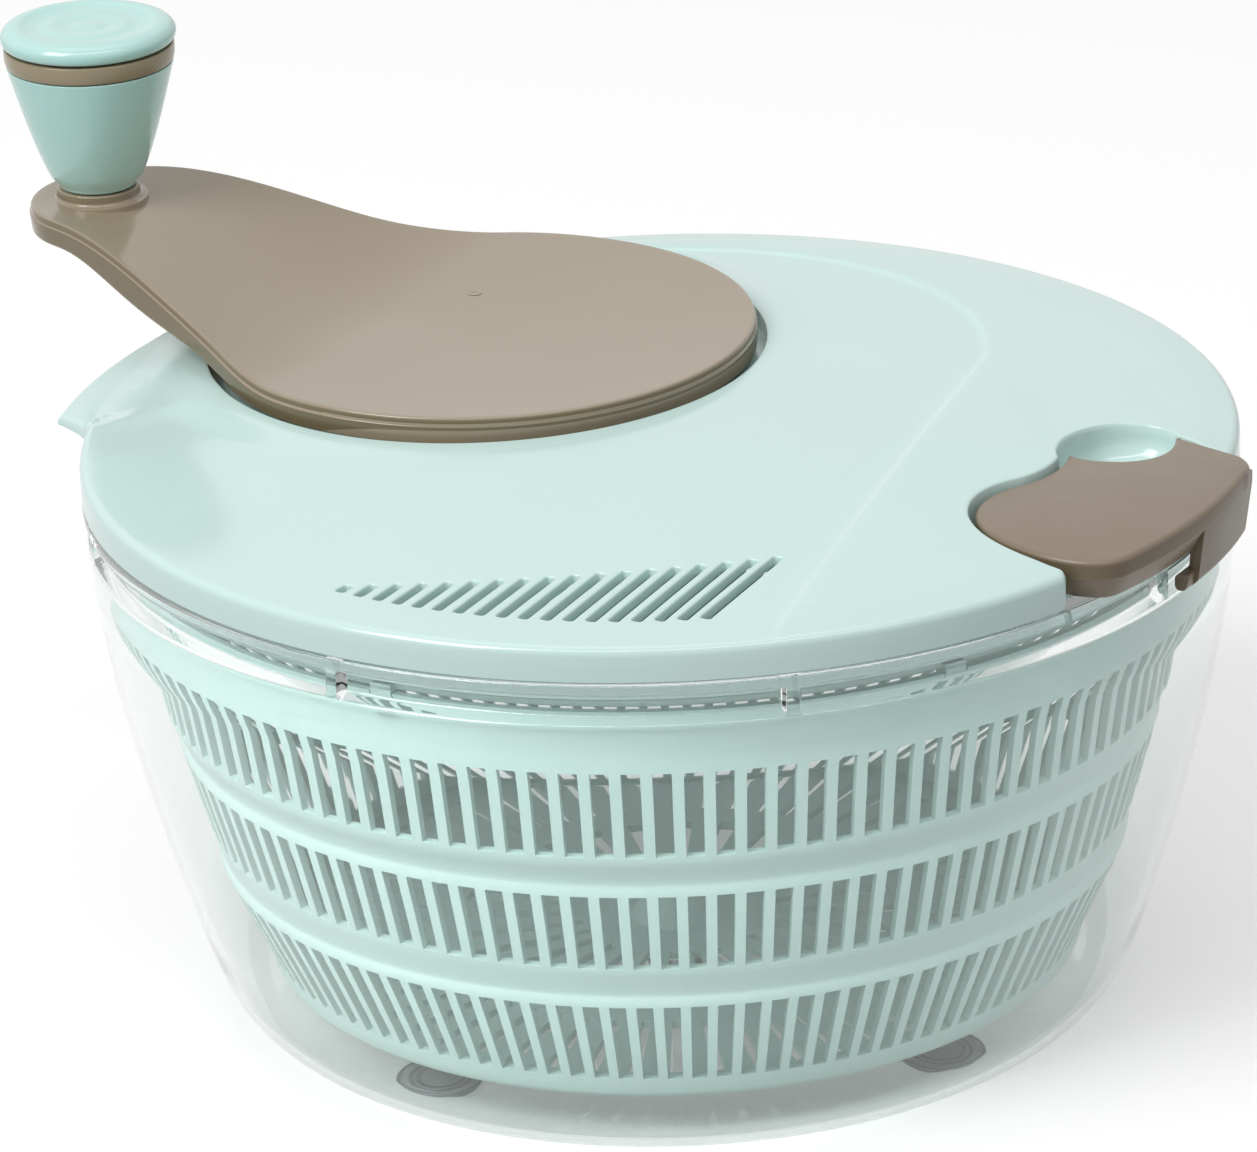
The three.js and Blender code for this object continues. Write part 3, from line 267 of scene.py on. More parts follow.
filled_out = shoulder_radius / bowl_line[:, 0].clip(1e-9)[:, None] - 1
points[..., :2] *= (1 + in_neck[:, None] * on_rib * filled_out)[..., None]
make_piece("clear_bowl", (points.reshape(-1, 3), faces), clear_san(), "bowl", "bowl",
           sharp=50)

# ---- feet
# Four soft grey thermoplastic rubber feet, moulded as grooved rings round a thin web so that they grip
# the worktop, and pressed into the bowl's underside. They show through the clear floor.


def centre_of(node):
    """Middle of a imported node's box, in millimetres."""
    return np.mean(box_mm(node), axis=0)


def soft_rubber(groove, crest):
    """Thermoplastic rubber from a spark-finished mould: matt, with an IOR of 1.5 and a 0.8 mm grain that
    is drawn a little coarser than it is. Painted shade darkens it low down, in the grooves, and fades out
    towards their crests."""
    material, add = new_material("grooved_grey_rubber")
    place = add("TexCoord").outputs["Object"]
    grain = add("TexNoise", {"Vector": place, "Scale": 1 / (0.8 * MM), "Detail": 3.0})
    tone = add("Mix", {0: grain, 6: linear("8f999b"), 7: linear("adb5b6")}, data_type="RGBA")
    matt = add("Bump", {"Strength": 0.3, "Distance": 0.1 * MM, "Height": grain})
    # painted shade: the lower the surface, down to the grooves, the darker it is painted
    up = add("MapRange", {
        "Value": add("SeparateXYZ", {"Vector": place}).outputs["Z"],
        "From Min": groove * MM, "From Max": crest * MM, "To Min": 0.85, "To Max": 0.0})
    tone_and_groove_shade = add("Mix", {0: up, 6: tone, 7: linear("3d4648")}, data_type="RGBA")
    body = add("BsdfPrincipled", {
        "Base Color": tone_and_groove_shade, "Roughness": 0.72, "IOR": 1.5, "Normal": matt})
    add("OutputMaterial", {"Surface": body})
    return material


foot_low, foot_high = box_mm("foot_1")
low, high, outer = foot_low[2], foot_high[2], (foot_high[0] - foot_low[0]) / 2
under_groove, top_groove = low + 0.5, low + 1.6
foot_line = rounded([
    (0, low + 0.7, 0), (5.0, low + 0.7, 0.3), (5.3, low, 0.3), (6.2, low, 0.3), (6.5, under_groove, 0.2),
    (7.2, under_groove, 0.2), (7.5, low, 0.3), (outer - 0.9, low, 0.6), (outer, high, 0.3),
    (outer - 0.9, high, 0.2), (outer - 1.1, top_groove, 0.2), (outer - 2.5, top_groove, 0.2),
    (outer - 2.7, high, 0.2), (outer - 3.7, high, 0.2), (outer - 3.9, top_groove, 0.2),
    (6.0, top_groove, 0.2), (5.8, high, 0.2), (4.8, high, 0.2), (4.6, low + 1.3, 0.3), (0, low + 1.3, 0)],
    steps=3)
foot_rubber = soft_rubber(low + 1.8, high - 0.1)
for number in range(1, 5):
    node = f"foot_{number}"
    make_piece(f"grooved_{node}", turned(foot_line, full_turn(64), centre_of(node)), foot_rubber, "bowl",
               node)

# ---- basket
# The basket is moulded in opaque mint acrylonitrile butadiene styrene, 1.8 mm thick. Three rows of 112
# upright slots ring its wall, two rings of slots radiate in its floor, a socket in the middle drops over
# the bowl's post, and six notches in the rim take the lugs of the plate that spins it.


def moulded_plastic(name, tone, deep, gloss, strength=0.035, side=None):
    """Moulded styrenic plastic, with an IOR of 1.53. Its colour drifts between two near tones over 45 mm,
    as pigment does in a thick moulding; its polish varies over 12 mm; and the skin has a fine ripple,
    drawn at 0.9 mm so that it breaks up the highlights. Where a side tone is given, it is painted shade:
    the surfaces marked as upright take that darker tone, for the lesser light their sides get than the top."""
    material, add = new_material(name)
    place = add("TexCoord").outputs["Object"]
    drift = add("TexNoise", {"Vector": place, "Scale": 1 / (45 * MM), "Detail": 2.0})
    colour = add("Mix", {0: drift, 6: linear(deep), 7: linear(tone)}, data_type="RGBA")
    if side:
        # painted shade: upright surfaces take the darker side tone
        upright = add("Attribute", attribute_name="upright").outputs["Fac"]
        colour = add("Mix", {0: upright, 6: colour, 7: linear(side)}, data_type="RGBA")
    polish = add("TexNoise", {"Vector": place, "Scale": 1 / (12 * MM), "Detail": 3.0})
    rough = add("MapRange", {
        "Value": polish, "From Min": 0.3, "From Max": 0.7, "To Min": gloss - 0.03, "To Max": gloss + 0.04})
    skin = add("TexNoise", {"Vector": place, "Scale": 1 / (0.9 * MM), "Detail": 2.0})
    ripple = add("Bump", {"Strength": strength, "Distance": 0.1 * MM, "Height": skin})
    body = add("BsdfPrincipled", {
        "Base Color": colour, "Roughness": rough, "IOR": 1.53, "Normal": ripple})
    add("OutputMaterial", {"Surface": body})
    return material


BASKET_SLOTS = 112
BASKET_BAR = 0.38  # bar between two slots as a share of their pitch
BASKET_FLOOR = 11.6
FLOOR_RINGS = [(22, 50, 4), (58, 84, 2)]  # inner and outer radius, and the wall's pitches from slot to slot
rim_top = box_mm("basket")[1][2]
rim_radius = 121.1
slot_rows = [(17.0, 94.6, 39.0, 104.7), (49.0, 106.7, 68.5, 112.1), (79.0, 115.0, 100.5, 118.6)]
steps_out = [[(106.0, 46.6, 1.4), (106.5, 48.0, 0)], [(114.2, 76.4, 1.4), (114.8, 78.0, 0)], []]
wall_line = []
for (low, low_radius, high, high_radius), step_out in zip(slot_rows, steps_out):
    wall_line += [(low_radius, low, 0), (high_radius, high, 0)]
    if step_out:
        wall_line += [(high_radius - 0.1, high + 1.6, 0), (high_radius - 0.5, high + 2.6, 0.8),
                      (high_radius + 0.1, high + 4.5, 0), *step_out]
basket_line = rounded([
    (0, POST_TOP + 0.3, 0), (4.2, POST_TOP + 0.3, 0.8), (9.6, BASKET_FLOOR, 1.6),
    *[(radius, BASKET_FLOOR, 0) for radius in (18, 22, 36, 50, 58, 71, 84, 88)],
    (93.4, BASKET_FLOOR, 3.2), (94.35, 15.6, 0), *wall_line,
    (118.8, 103.0, 0), (118.8, 111.2, 0), (118.8, 111.9, 0.5), (rim_radius, 113.0, 0.5),
    (rim_radius, rim_top, 0)])
pitch = 360 / BASKET_SLOTS
notch_half = np.degrees(2.8 / rim_radius)
bearings = np.unique(np.round(np.concatenate([
    *[pitch * (np.arange(BASKET_SLOTS) + edge) for edge in (0, BASKET_BAR)],
    *[(60 * np.arange(6) + side * notch_half) % 360 for side in (-1, 1)]]), 3))
middle = (bearings + np.append(bearings[1:], bearings[0] + 360)) / 2
across, up = (basket_line[1:] + basket_line[:-1]).T / 2
in_row = np.any([(up > low) & (up < high) for low, _, high, _ in slot_rows], axis=0)
open_wall = in_row[:, None] & ((middle / pitch) % 1 > BASKET_BAR)
open_floor = np.any([
    ((up < BASKET_FLOOR + 0.1) & (across > inner) & (across < outer))[:, None]
    & ((middle / pitch) % step > step / 2 + BASKET_BAR) for inner, outer, step in FLOOR_RINGS], axis=0)
open_notch = (up > rim_top - 3.9)[:, None] & (np.abs((middle + 30) % 60 - 30) < notch_half)
points, _ = turned(basket_line, bearings)
faces = grid_faces(len(basket_line), len(bearings), kept=~(open_wall | open_floor | open_notch))
basket_mint = moulded_plastic("mint_basket_abs", "c2ddd7", "bbd8d2", 0.38, strength=0.06)
basket = make_piece("slotted_basket", (points, faces), basket_mint, "basket", "basket")
wall = basket.modifiers.new("wall", "SOLIDIFY")
wall.thickness = 1.8 * MM
wall.offset = -1
edges = basket.modifiers.new("softened_edges", "BEVEL")
edges.width = 0.25 * MM
edges.segments = 2
edges.limit_method = "ANGLE"
edges.angle_limit = np.radians(50)
edges.harden_normals = True

# ---- lid
# One moulding in glossy mint acrylonitrile butadiene styrene: a low dome with a turned-down skirt, a well
# for the crank, a pointed lip, slanted vents, a recess and scoop for the latch, and underneath a ring that
# centres it in the bowl and the gear case's wall. Its top and underside are heights over one plan.
CROWN_RISE = 4.4
LID_WALL = 2.2
EDGE_ROUNDING = 2.1
WELL_RADIUS = 64.5
WELL_LIP = 4.0
BEAK_BEARING = 168.4
BEAK_REACH = 10.0
BEAK_DROP = 2.9
WALL_RAMP = 0.03  # upright walls lean by this much to each side of their outline
BESIDE = 1.3 * WALL_RAMP


def bearing_of(plan):
    """Bearings of plan points, from 0 to 360."""
    return np.degrees(np.arctan2(plan[..., 1], plan[..., 0])) % 360


def facing(points, bearing, place=0.0):
    """Plan points laid out along x, turned to face a bearing and moved to a place."""
    points = np.asarray(points, float)
    return place + points[..., :1] * polar(1.0, bearing) + points[..., 1:] * polar(1.0, bearing + 90)


def circle(centre, radius, spacing=1.6):
    """Points round a circle."""
    return centre + polar(radius, full_turn(int(np.ceil(2 * np.pi * radius / spacing))))


def inside(points, outline):
    """Whether points lie in a closed outline: a level ray from such a point crosses it an odd number of
    times."""
    start, end = outline, np.roll(outline, -1, 0)
    x, y = points[:, 0, None], points[:, 1, None]
    spans = (start[:, 1] > y) != (end[:, 1] > y)
    rise = np.where(end[:, 1] == start[:, 1], 1, end[:, 1] - start[:, 1])
    crossing = start[:, 0] + (y - start[:, 1]) / rise * (end[:, 0] - start[:, 0])
    return (spans & (x < crossing)).sum(1) % 2 == 1


def outside_by(points, outline):
    """Distance from points to a closed outline, negative inside it: the least distance to any side,
    where the nearest point of a side is found by projecting onto it."""
    far = np.full(len(points), np.inf)
    for corner, side in zip(outline, np.roll(outline, -1, 0) - outline):
        offset = points - corner
        share = np.clip(offset @ side / max(side @ side, 1e-12), 0, 1)
        far = np.minimum(far, np.linalg.norm(offset - share[:, None] * side, axis=1))
    return np.where(inside(points, outline), -far, far)


def grown(outline, distance):
    """A closed anticlockwise outline moved outwards: each point goes along the mean normal of its two
    sides, further at a sharp corner so that both sides move by the distance."""
    before, after = [side / np.maximum(np.linalg.norm(side, axis=1), 1e-9)[:, None]
                     for side in (outline - np.roll(outline, 1, 0), np.roll(outline, -1, 0) - outline)]
    normal = np.stack([before[:, 1] + after[:, 1], -before[:, 0] - after[:, 0]], -1)
    normal /= np.maximum(np.linalg.norm(normal, axis=1), 1e-9)[:, None]
    stretch = np.maximum(0.6, np.abs(normal[:, 0] * before[:, 1] - normal[:, 1] * before[:, 0]))
    return outline + normal * (distance / stretch)[:, None]


def curve_to(start, bend, end, count):
    """Points along a parabola from start to end, pulled towards the bend, without its last point."""
    start, bend, end = np.asarray(start), np.asarray(bend), np.asarray(end)
    t = np.linspace(0, 1, count, endpoint=False)[:, None]
    return (1 - t) ** 2 * start + 2 * t * (1 - t) * bend + t ** 2 * end


def resampled(outline, spacing):
    """A closed outline with its long sides divided, so that no side is much longer than the spacing."""
    ends = np.roll(outline, -1, 0)
    counts = np.maximum(1, np.ceil(np.linalg.norm(ends - outline, axis=1) / spacing)).astype(int)
    index = np.repeat(np.arange(len(outline)), counts)
    share = (np.arange(counts.sum()) - np.repeat(np.cumsum(counts) - counts, counts)) / counts[index]
    return outline[index] + share[:, None] * (ends - outline)[index]


def over_edge(distance, radius):
    """Drop of a rounded edge at a distance from it: a quarter circle of the given radius."""
    return radius - np.sqrt(radius ** 2 - np.clip(radius - distance, 0, radius) ** 2)


def ramp(distance):
    """0 on the inner side of an outline and 1 on its outer side, straight over a narrow ramp."""
    return np.clip(0.5 + distance / (2 * WALL_RAMP), 0, 1)


def softer_max(first, second, softness):
    """The larger of two heights, blended where they are alike: softness times the logarithm of the sum
    of their exponentials."""
    return softness * np.logaddexp(first / softness, second / softness)


lid_low, lid_high = box_mm("lid_cover")
lid_radius = lid_high[1]
skirt_foot = bowl_top + 0.3
lid_edge = skirt_foot + 8.0
collar_top = lid_edge + WELL_LIP
crank_axis = centre_of("crank_washer")[:2]
origin = np.zeros(2)
spigot_foot = lid_low[2]
spigot_outer = neck_inner - 0.42
spigot_inner = spigot_outer - 1.6
well_under = lid_edge - LID_WALL
case_foot = box_mm("gear_cover")[1][2] + 0.3
beak_foot = lid_edge - BEAK_DROP - 2.0

# the latch's own frame: on the lid's edge at its bearing, x outwards, y anticlockwise along the edge
LATCH_BEARING = -40.0
LATCH_OVERHANG = 6.2
LATCH_START, LATCH_END = -7.3, 22.0  # bearings of its outer corners, from its own
latch_origin = polar(lid_radius, LATCH_BEARING)
latch_edge = lid_radius + LATCH_OVERHANG
latch_under = lid_edge - 3.0
latch_corner = polar(latch_edge, LATCH_START) - [lid_radius, 0]
edge_arc = polar(latch_edge, np.linspace(-3.4, 19, 34)) - [lid_radius, 0]
near_side = curve_to((-35.0, -8.3), (-23.9, -20.7), latch_corner, 24)[:-6]
latch_plan = resampled(np.concatenate([
    edge_arc[:-1], curve_to(edge_arc[-1], (-2.4, 50.9), (-8.4, 53.5), 8), [(-8.4, 53.5)],
    curve_to((-27.1, 55.0), (-19.4, 43.2), (-28.5, 36.1), 12),
    curve_to((-28.5, 36.1), (-34.2, 32.1), (-40.2, 32.7), 8),
    curve_to((-40.2, 32.7), (-35.3, 24.0), (-37.6, 14.1), 10),
    curve_to((-37.6, 14.1), (-43.0, 1.2), (-35.0, -8.3), 12),
    near_side[:-1], curve_to(near_side[-1], latch_corner, edge_arc[0], 12)]), 1.6)

# outline of the lid as a radius for each bearing: the round edge, the pointed lip, and the gap in the
# skirt where the latch hangs down
tip = polar(lid_radius + BEAK_REACH, BEAK_BEARING)
flank = np.concatenate([
    curve_to(polar(lid_radius, BEAK_BEARING - 29.4), polar(lid_radius + 14.5, BEAK_BEARING - 15.4), tip, 30),
    curve_to(tip, polar(lid_radius + 1.1, BEAK_BEARING + 3), polar(lid_radius - 1.1, BEAK_BEARING + 7),
             12)])
gap_start, gap_end = np.array([LATCH_START - 0.85, LATCH_END + 1.7]) + LATCH_BEARING + 360
GAP_TURN = 1.3
lid_bearings = np.unique(np.round(np.concatenate([
    np.arange(0, 360, 0.75), bearing_of(flank),
    *[np.linspace(edge - GAP_TURN, edge + GAP_TURN, 9) for edge in (gap_start, gap_end)]]), 3))


def lid_reach(bearings):
    """Radius of the lid's outline and the width of its rounded edge at each bearing."""
    reach = np.maximum(lid_radius, np.interp(
        bearings, bearing_of(flank), np.linalg.norm(flank, axis=1), left=lid_radius, right=lid_radius))
    share = smooth_step(np.minimum(bearings - gap_start, gap_end - bearings), -GAP_TURN, GAP_TURN)
    return reach + (spigot_outer - reach) * share, EDGE_ROUNDING + (0.8 - EDGE_ROUNDING) * share


outline_reach, outline_round = lid_reach(lid_bearings)
top_outline = polar(outline_reach - outline_round, lid_bearings)

well_fall = np.arange(4, 18, 2.0)
well_line = rounded([
    (WELL_RADIUS, collar_top - 0.6, 0), (WELL_RADIUS, collar_top, 0.9), (WELL_RADIUS + 1.4, collar_top, 1.0),
    *plain_line(WELL_RADIUS + well_fall, collar_top - 0.02 * (well_fall - 1) ** 2)], steps=6)
beak_plan = resampled(np.concatenate([flank, polar(WELL_RADIUS, np.array([200, 150])) + crank_axis]), 2.0)
recess_plan, pan_plan = [facing(grown(latch_plan, gap), LATCH_BEARING, latch_origin) for gap in (1.4, 3.0)]
recess_floor = latch_under - 0.6
SCOOP = np.array([-32.0, 41.8])
SCOOP_REACH = np.array([13.4, 15.6])
SCOOP_DEPTH = 8.4
scoop_level = lid_edge + 1.6

# a curved crease: beyond it the lid stands a little higher
CREASE_STEP = 0.9
CREASE_HALF = 1.2
crease_plan = resampled(np.concatenate([
    [(19.0, -135.0)], [0, 38.0] + polar(75.5, np.linspace(-8, 80, 60)),
    [(-lid_radius, 135.0), (-lid_radius, -135.0)]]), 2.5)

# gear case: the hull of a circle round each gear
GEAR_PITCH, PINION_PITCH = 48.0, 13.0  # radii of the pitch circles
CASE_MARGIN = 5.0  # from a gear's pitch circle to its case's wall
CASE_WALL = 1.8


def case_outline(offset):
    """Outline round both gears: an arc about each axis, joined by the straight lines that touch both."""
    near, far = PINION_PITCH + CASE_MARGIN + offset, GEAR_PITCH + CASE_MARGIN + offset
    back = bearing_of(crank_axis) + 180
    lean = np.degrees(np.arccos((far - near) / (GEAR_PITCH + PINION_PITCH)))
    return resampled(np.concatenate([
        polar(far, np.linspace(back + lean, back + 360 - lean, 72)) + crank_axis,
        polar(near, np.linspace(back - lean, back + lean, 16))]), 2.5)


case_plan = case_outline(0)
boss_places = [centre_of(f"cover_screw_{number}")[:2] for number in range(1, 5)]

# vents: slots 2.3 mm wide from the skirt's side to a gentle arc, with softened corners
VENTS = 18
VENT_HALF = 1.15
inner_ends = np.linspace(-66.9, 24.6, VENTS)
vents = []
for start, end in zip(polar(lid_radius - 13.5, np.linspace(-126.4, -86, VENTS)), np.stack([
        inner_ends, 0.0018 * (inner_ends + 33.45) ** 2 - (lid_radius - 37)], -1)):
    length = np.hypot(*(end - start))
    slot = rounded([(x, side * VENT_HALF, 0.7) for x, side in ((0, -1), (length, -1), (length, 1), (0, 1))],
                   closed=True, steps=3)
    vents.append(resampled(facing(slot, bearing_of(end - start), start), 2.5))


def lid_distances(plan):
    """How far plan points lie outside each moulded feature."""
    nearest_vent = np.full(len(plan), np.inf)
    for vent in vents:
        close = np.linalg.norm(plan - vent.mean(0), axis=1) < 25
        nearest_vent[close] = np.minimum(nearest_vent[close], outside_by(plan[close], vent))
    from_latch = plan - latch_origin
    from_latch = np.stack([from_latch @ polar(1.0, LATCH_BEARING + turn) for turn in (0, 90)], -1)
    return {
        "radius": np.linalg.norm(plan, axis=1),
        "crank": np.linalg.norm(plan - crank_axis, axis=1),
        "recess": outside_by(plan, recess_plan), "pan": outside_by(plan, pan_plan),
        "scoop": np.linalg.norm((from_latch - SCOOP) / SCOOP_REACH, axis=1),
        "beak": outside_by(plan, beak_plan), "crease": outside_by(plan, crease_plan),
        "case": outside_by(plan, case_plan), "vent": nearest_vent,
        "boss": np.min([np.linalg.norm(plan - place, axis=1) for place in boss_places], axis=0)}


def dome(radius):
    """Height of the crown: it falls with the square of the radius to the lid's edge."""
    return lid_edge + CROWN_RISE * (1 - (radius / lid_radius) ** 2)


def scoop_floor(share, extra=0.0):
    """Floor of the scoop at a share of its reach: the depth times the square root of one minus the share
    to the power 6, so that its sides stand steep, and beyond the reach the side goes on upwards."""
    steep = np.sqrt(np.clip(1 - share ** 6, 0, None))
    return scoop_level - (SCOOP_DEPTH + extra) * steep + 50 * np.clip(share - 1, 0, None)


def lid_top(plan, far):
    """Height of the top: the dome, a step up beyond the crease, the pointed lip's slope, and the well's
    lip, each the larger of what meets there; then the well, the recess and the scoop are cut in, each
    with a rounded edge."""
    near_edge = np.clip((lid_radius - 1 - far["radius"]) / 8, 0, 1)
    step = CREASE_STEP * smooth_step(far["crease"], -CREASE_HALF, CREASE_HALF)
    height = dome(far["radius"]) + step * near_edge
    slope = lid_edge - BEAK_DROP + np.tan(np.radians(9.6)) * (plan[:, 0] - tip[0])
    height = softer_max(height, slope - 0.06 * np.clip(far["beak"], 0, 40) ** 2, 0.9)
    outwards = np.clip((far["radius"] - lid_radius + 14) / 14, 0, 1) * np.clip(-far["beak"] / 5, 0, 1)
    height += (slope - height) * np.where(far["radius"] > lid_radius, 1, outwards)
    collar = np.interp(far["crank"], *well_line.T, left=collar_top, right=-1e3)
    height = np.where(far["crank"] < WELL_RADIUS + 16, softer_max(height, collar, 0.4), height)
    height -= over_edge(far["vent"], 0.45)
    height = recess_floor + (height - over_edge(far["recess"], 0.7) - recess_floor) * ramp(far["recess"])
    height = np.where(far["scoop"] < 1.3, -softer_max(-height, -scoop_floor(far["scoop"]), 0.3), height)
    return lid_edge + (height - lid_edge) * ramp(far["crank"] - WELL_RADIUS)


def lid_underside(far):
    """Height of the underside: the wall's thickness under the dome, lower under the well, the latch's
    recess and the scoop; then the spigot, the skirt's foot, the gear case's wall, and its bosses."""
    height = np.where(far["radius"] > lid_radius, beak_foot, dome(far["radius"]) - LID_WALL)
    height = np.minimum(height, well_under + 10 * ramp(far["crank"] - WELL_RADIUS - LID_WALL))
    height = np.minimum(height, recess_floor - 1.8 + 10 * ramp(far["pan"]))
    height = np.minimum(height, np.where(far["scoop"] < 1.1, scoop_floor(far["scoop"] / 1.1, 1.6), 1e3))
    between = ramp(far["case"]) * (1 - ramp(far["case"] - CASE_WALL))
    foot = np.maximum(between, 1 - ramp(far["boss"] - 4.0))
    shelf = ramp(far["radius"] - spigot_outer)
    for level, share in (
            (case_foot, foot * (far["radius"] < spigot_inner)),
            (case_foot + 5.4, 1 - np.minimum(ramp(far["crank"] - 12.7), ramp(far["radius"] - 6.4))),
            (spigot_foot, ramp(far["radius"] - spigot_inner) * (1 - shelf)), (well_under, shelf),
            (skirt_foot, ramp(far["radius"] - lid_radius + LID_WALL) * (1 - ramp(far["radius"] - lid_radius)))):
        height += (level - height) * share
    return height


def walls(plan, about=None):
    """The two outlines that stand either side of an upright wall: of a plan, or of a circle about an axis
    if one is given."""
    return [grown(plan, side) if about is None else circle(about, plan + side) for side in (-BESIDE, BESIDE)]


contours = [
    *walls(WELL_RADIUS, crank_axis),
    *[circle(crank_axis, radius) for radius in well_line[1:, 0][well_line[1:, 0] < WELL_RADIUS + 2]],
    *[circle(crank_axis, WELL_RADIUS + extra, 2.4) for extra in (3.4, 5.6, 8.0, 10.6, 13.4)],
    *walls(WELL_RADIUS + LID_WALL, crank_axis), *walls(12.7, crank_axis), *walls(6.4, origin),
    *walls(recess_plan), *[grown(recess_plan, distance) for distance in (0.15, 0.4, 0.75)],
    *walls(pan_plan),
    *[facing(SCOOP + circle(origin, share, 0.1) * SCOOP_REACH, LATCH_BEARING, latch_origin)
      for share in (0.2, 0.4, 0.55, 0.7, 0.8, 0.88, 0.94, 0.97, 0.99, 1.003, 1.016, 1.03, 1.05, 1.08, 1.12)],
    *walls(case_plan), *walls(case_outline(CASE_WALL)),
    *[wall for place in boss_places for wall in walls(4.0, place)],
    *[wall for radius in (spigot_inner, spigot_outer, lid_radius - LID_WALL, lid_radius)
      for wall in walls(radius, origin)],
    *[grown(crease_plan, share * CREASE_HALF) for share in (-1, -0.5, 0, 0.5, 1)], beak_plan,
    *[grown(vent, distance) for vent in vents for distance in (0.12, 0.3, 0.5)]]


def within_lid(plan, margin=0.35):
    """Whether plan points lie inside the top's outline by a margin."""
    reach, rounding = lid_reach(bearing_of(plan))
    return np.linalg.norm(plan, axis=1) < reach - rounding - margin


def as_edges(lines, keep=None):
    """The points of closed lines and the edges between them, without the points that keep turns down."""
    points, edges, count = [], [], 0
    for line in lines:
        good = np.ones(len(line), bool) if keep is None else keep(line)
        index, after = np.cumsum(good) - 1 + count, np.roll(good, -1)
        points.append(line[good])
        edges.append(np.stack([index[good & after], np.roll(index, -1)[good & after]], -1))
        count += good.sum()
    return np.concatenate(points), np.concatenate(edges)


def filled(points, edges, outer, holes):
    """Triangles between plan points that keep the given edges, inside the outer line and off the holes."""
    found = delaunay_2d_cdt(points.tolist(), edges.tolist(), [], 0, 1e-5)
    corners, triangles = np.array([(point.x, point.y) for point in found[0]]), np.array(found[2])
    middle = corners[triangles].mean(1)
    solid = inside(middle, outer)
    for hole in holes:
        close = solid & (np.abs(middle - hole.mean(0)) < np.ptp(hole, 0)).all(1)
        solid[close] = ~inside(middle[close], hole)
    used, triangles = np.unique(triangles[solid], return_inverse=True)
    return corners[used], triangles.reshape(-1, 3)


def joined(parts):
    """Several shapes of points and faces as one."""
    points, faces, count = [], [], 0
    for part_points, part_faces in parts:
        points.append(part_points)
        faces += [[corner + count for corner in face] for face in part_faces]
        count += len(part_points)
    return np.concatenate(points), faces


# the plan's points: the features' contours, the outline, the vents, and a loose grid between them
contour_points, contour_edges = as_edges(contours, within_lid)
loop_points, loop_edges = as_edges([top_outline, *vents])
GRID, CELL = 3.4, 3.2
lines = np.arange(-141, 141, GRID)
grid_x, grid_y = np.meshgrid(lines, lines)
loose = np.stack([grid_x + (np.arange(len(lines)) % 2)[:, None] * GRID / 2, grid_y], -1).reshape(-1, 2)
taken = {tuple(key) for key in np.floor(np.concatenate([contour_points, *vents]) / CELL).astype(int)}
free = np.array([tuple(key) not in taken for key in np.floor(loose / CELL).astype(int)])
plan, triangles = filled(
    np.concatenate([contour_points, loop_points, loose[free & within_lid(loose, 1.5)]]),
    np.concatenate([contour_edges, loop_edges + len(contour_points)]), top_outline, vents)
first, second, third = plan[triangles].transpose(1, 0, 2)
downwards = np.cross(second - first, third - first) < 0
triangles[downwards] = triangles[downwards][:, ::-1]
far = lid_distances(plan)
top = np.column_stack([plan, lid_top(plan, far)])
under = np.column_stack([plan, np.minimum(lid_underside(far), top[:, 2] - 0.8)])

# sides that only one triangle has are the rim of a vent or of the lid, whose edge is a strip of rows:
# down a quarter circle, down the skirt, and in under it
sides = np.concatenate([triangles[:, pair] for pair in ([0, 1], [1, 2], [2, 0])])
_, index, count = np.unique(np.sort(sides, 1), axis=0, return_index=True, return_counts=True)
rim = sides[index[count == 1]]
at_vent = (far["vent"] < 0.1)[rim].all(1)
vent_rim = rim[at_vent]
edge_index, outer_rim = np.unique(rim[~at_vent], return_inverse=True)
start, end = outer_rim.reshape(-1, 2).T
edge_bearing = bearing_of(plan[edge_index])
edge_reach, edge_round = lid_reach(edge_bearing)
edge_top, edge_foot = top[edge_index, 2], under[edge_index, 2]
quarter = np.linspace(0, np.pi / 2, 6)
lip_foot = np.minimum(beak_foot, edge_top - edge_round - 0.05)
step_in = np.maximum(edge_reach - edge_round, np.minimum(edge_reach, lid_radius))
rows = [(edge_reach - edge_round * (1 - np.sin(turn)), edge_top - edge_round * (1 - np.cos(turn)))
        for turn in quarter] + [
    (edge_reach, lip_foot + 0.2), (edge_reach, lip_foot), (step_in, lip_foot),
    (step_in, np.minimum(lip_foot, edge_foot + 0.5)), (step_in - 0.5, edge_foot),
    (edge_reach - edge_round, edge_foot)]
strip = np.stack([np.column_stack([polar(radius, edge_bearing), height]) for radius, height in rows])
strip[[0, -1], :, :2] = plan[edge_index]
row = np.arange(len(rows) - 1)[:, None] * len(edge_index)
below = row + len(edge_index)
strip_faces = np.stack([row + end, row + start, below + start, below + end], -1).reshape(-1, 4)
shift = len(top)
vent_faces = np.column_stack([vent_rim[:, ::-1], vent_rim + shift])
lid_shape = joined([
    (np.concatenate([top, under]), [*triangles.tolist(), *(triangles[:, ::-1] + shift).tolist(),
                                    *vent_faces.tolist()]),
    (strip.reshape(-1, 3), strip_faces.tolist())])
lid_mint = moulded_plastic("mint_lid_abs", "cce5e1", "c7e2de", 0.14)
make_piece("lid_shell", lid_shape, lid_mint, "lid", "lid_cover", sharp=40)

# ---- gear case and its fixings
# The crank's gear and the pinion run in white nylon under the lid. A flat white cover closes their case,
# held by four pan-head screws; the pinion turns on a ground steel axle.


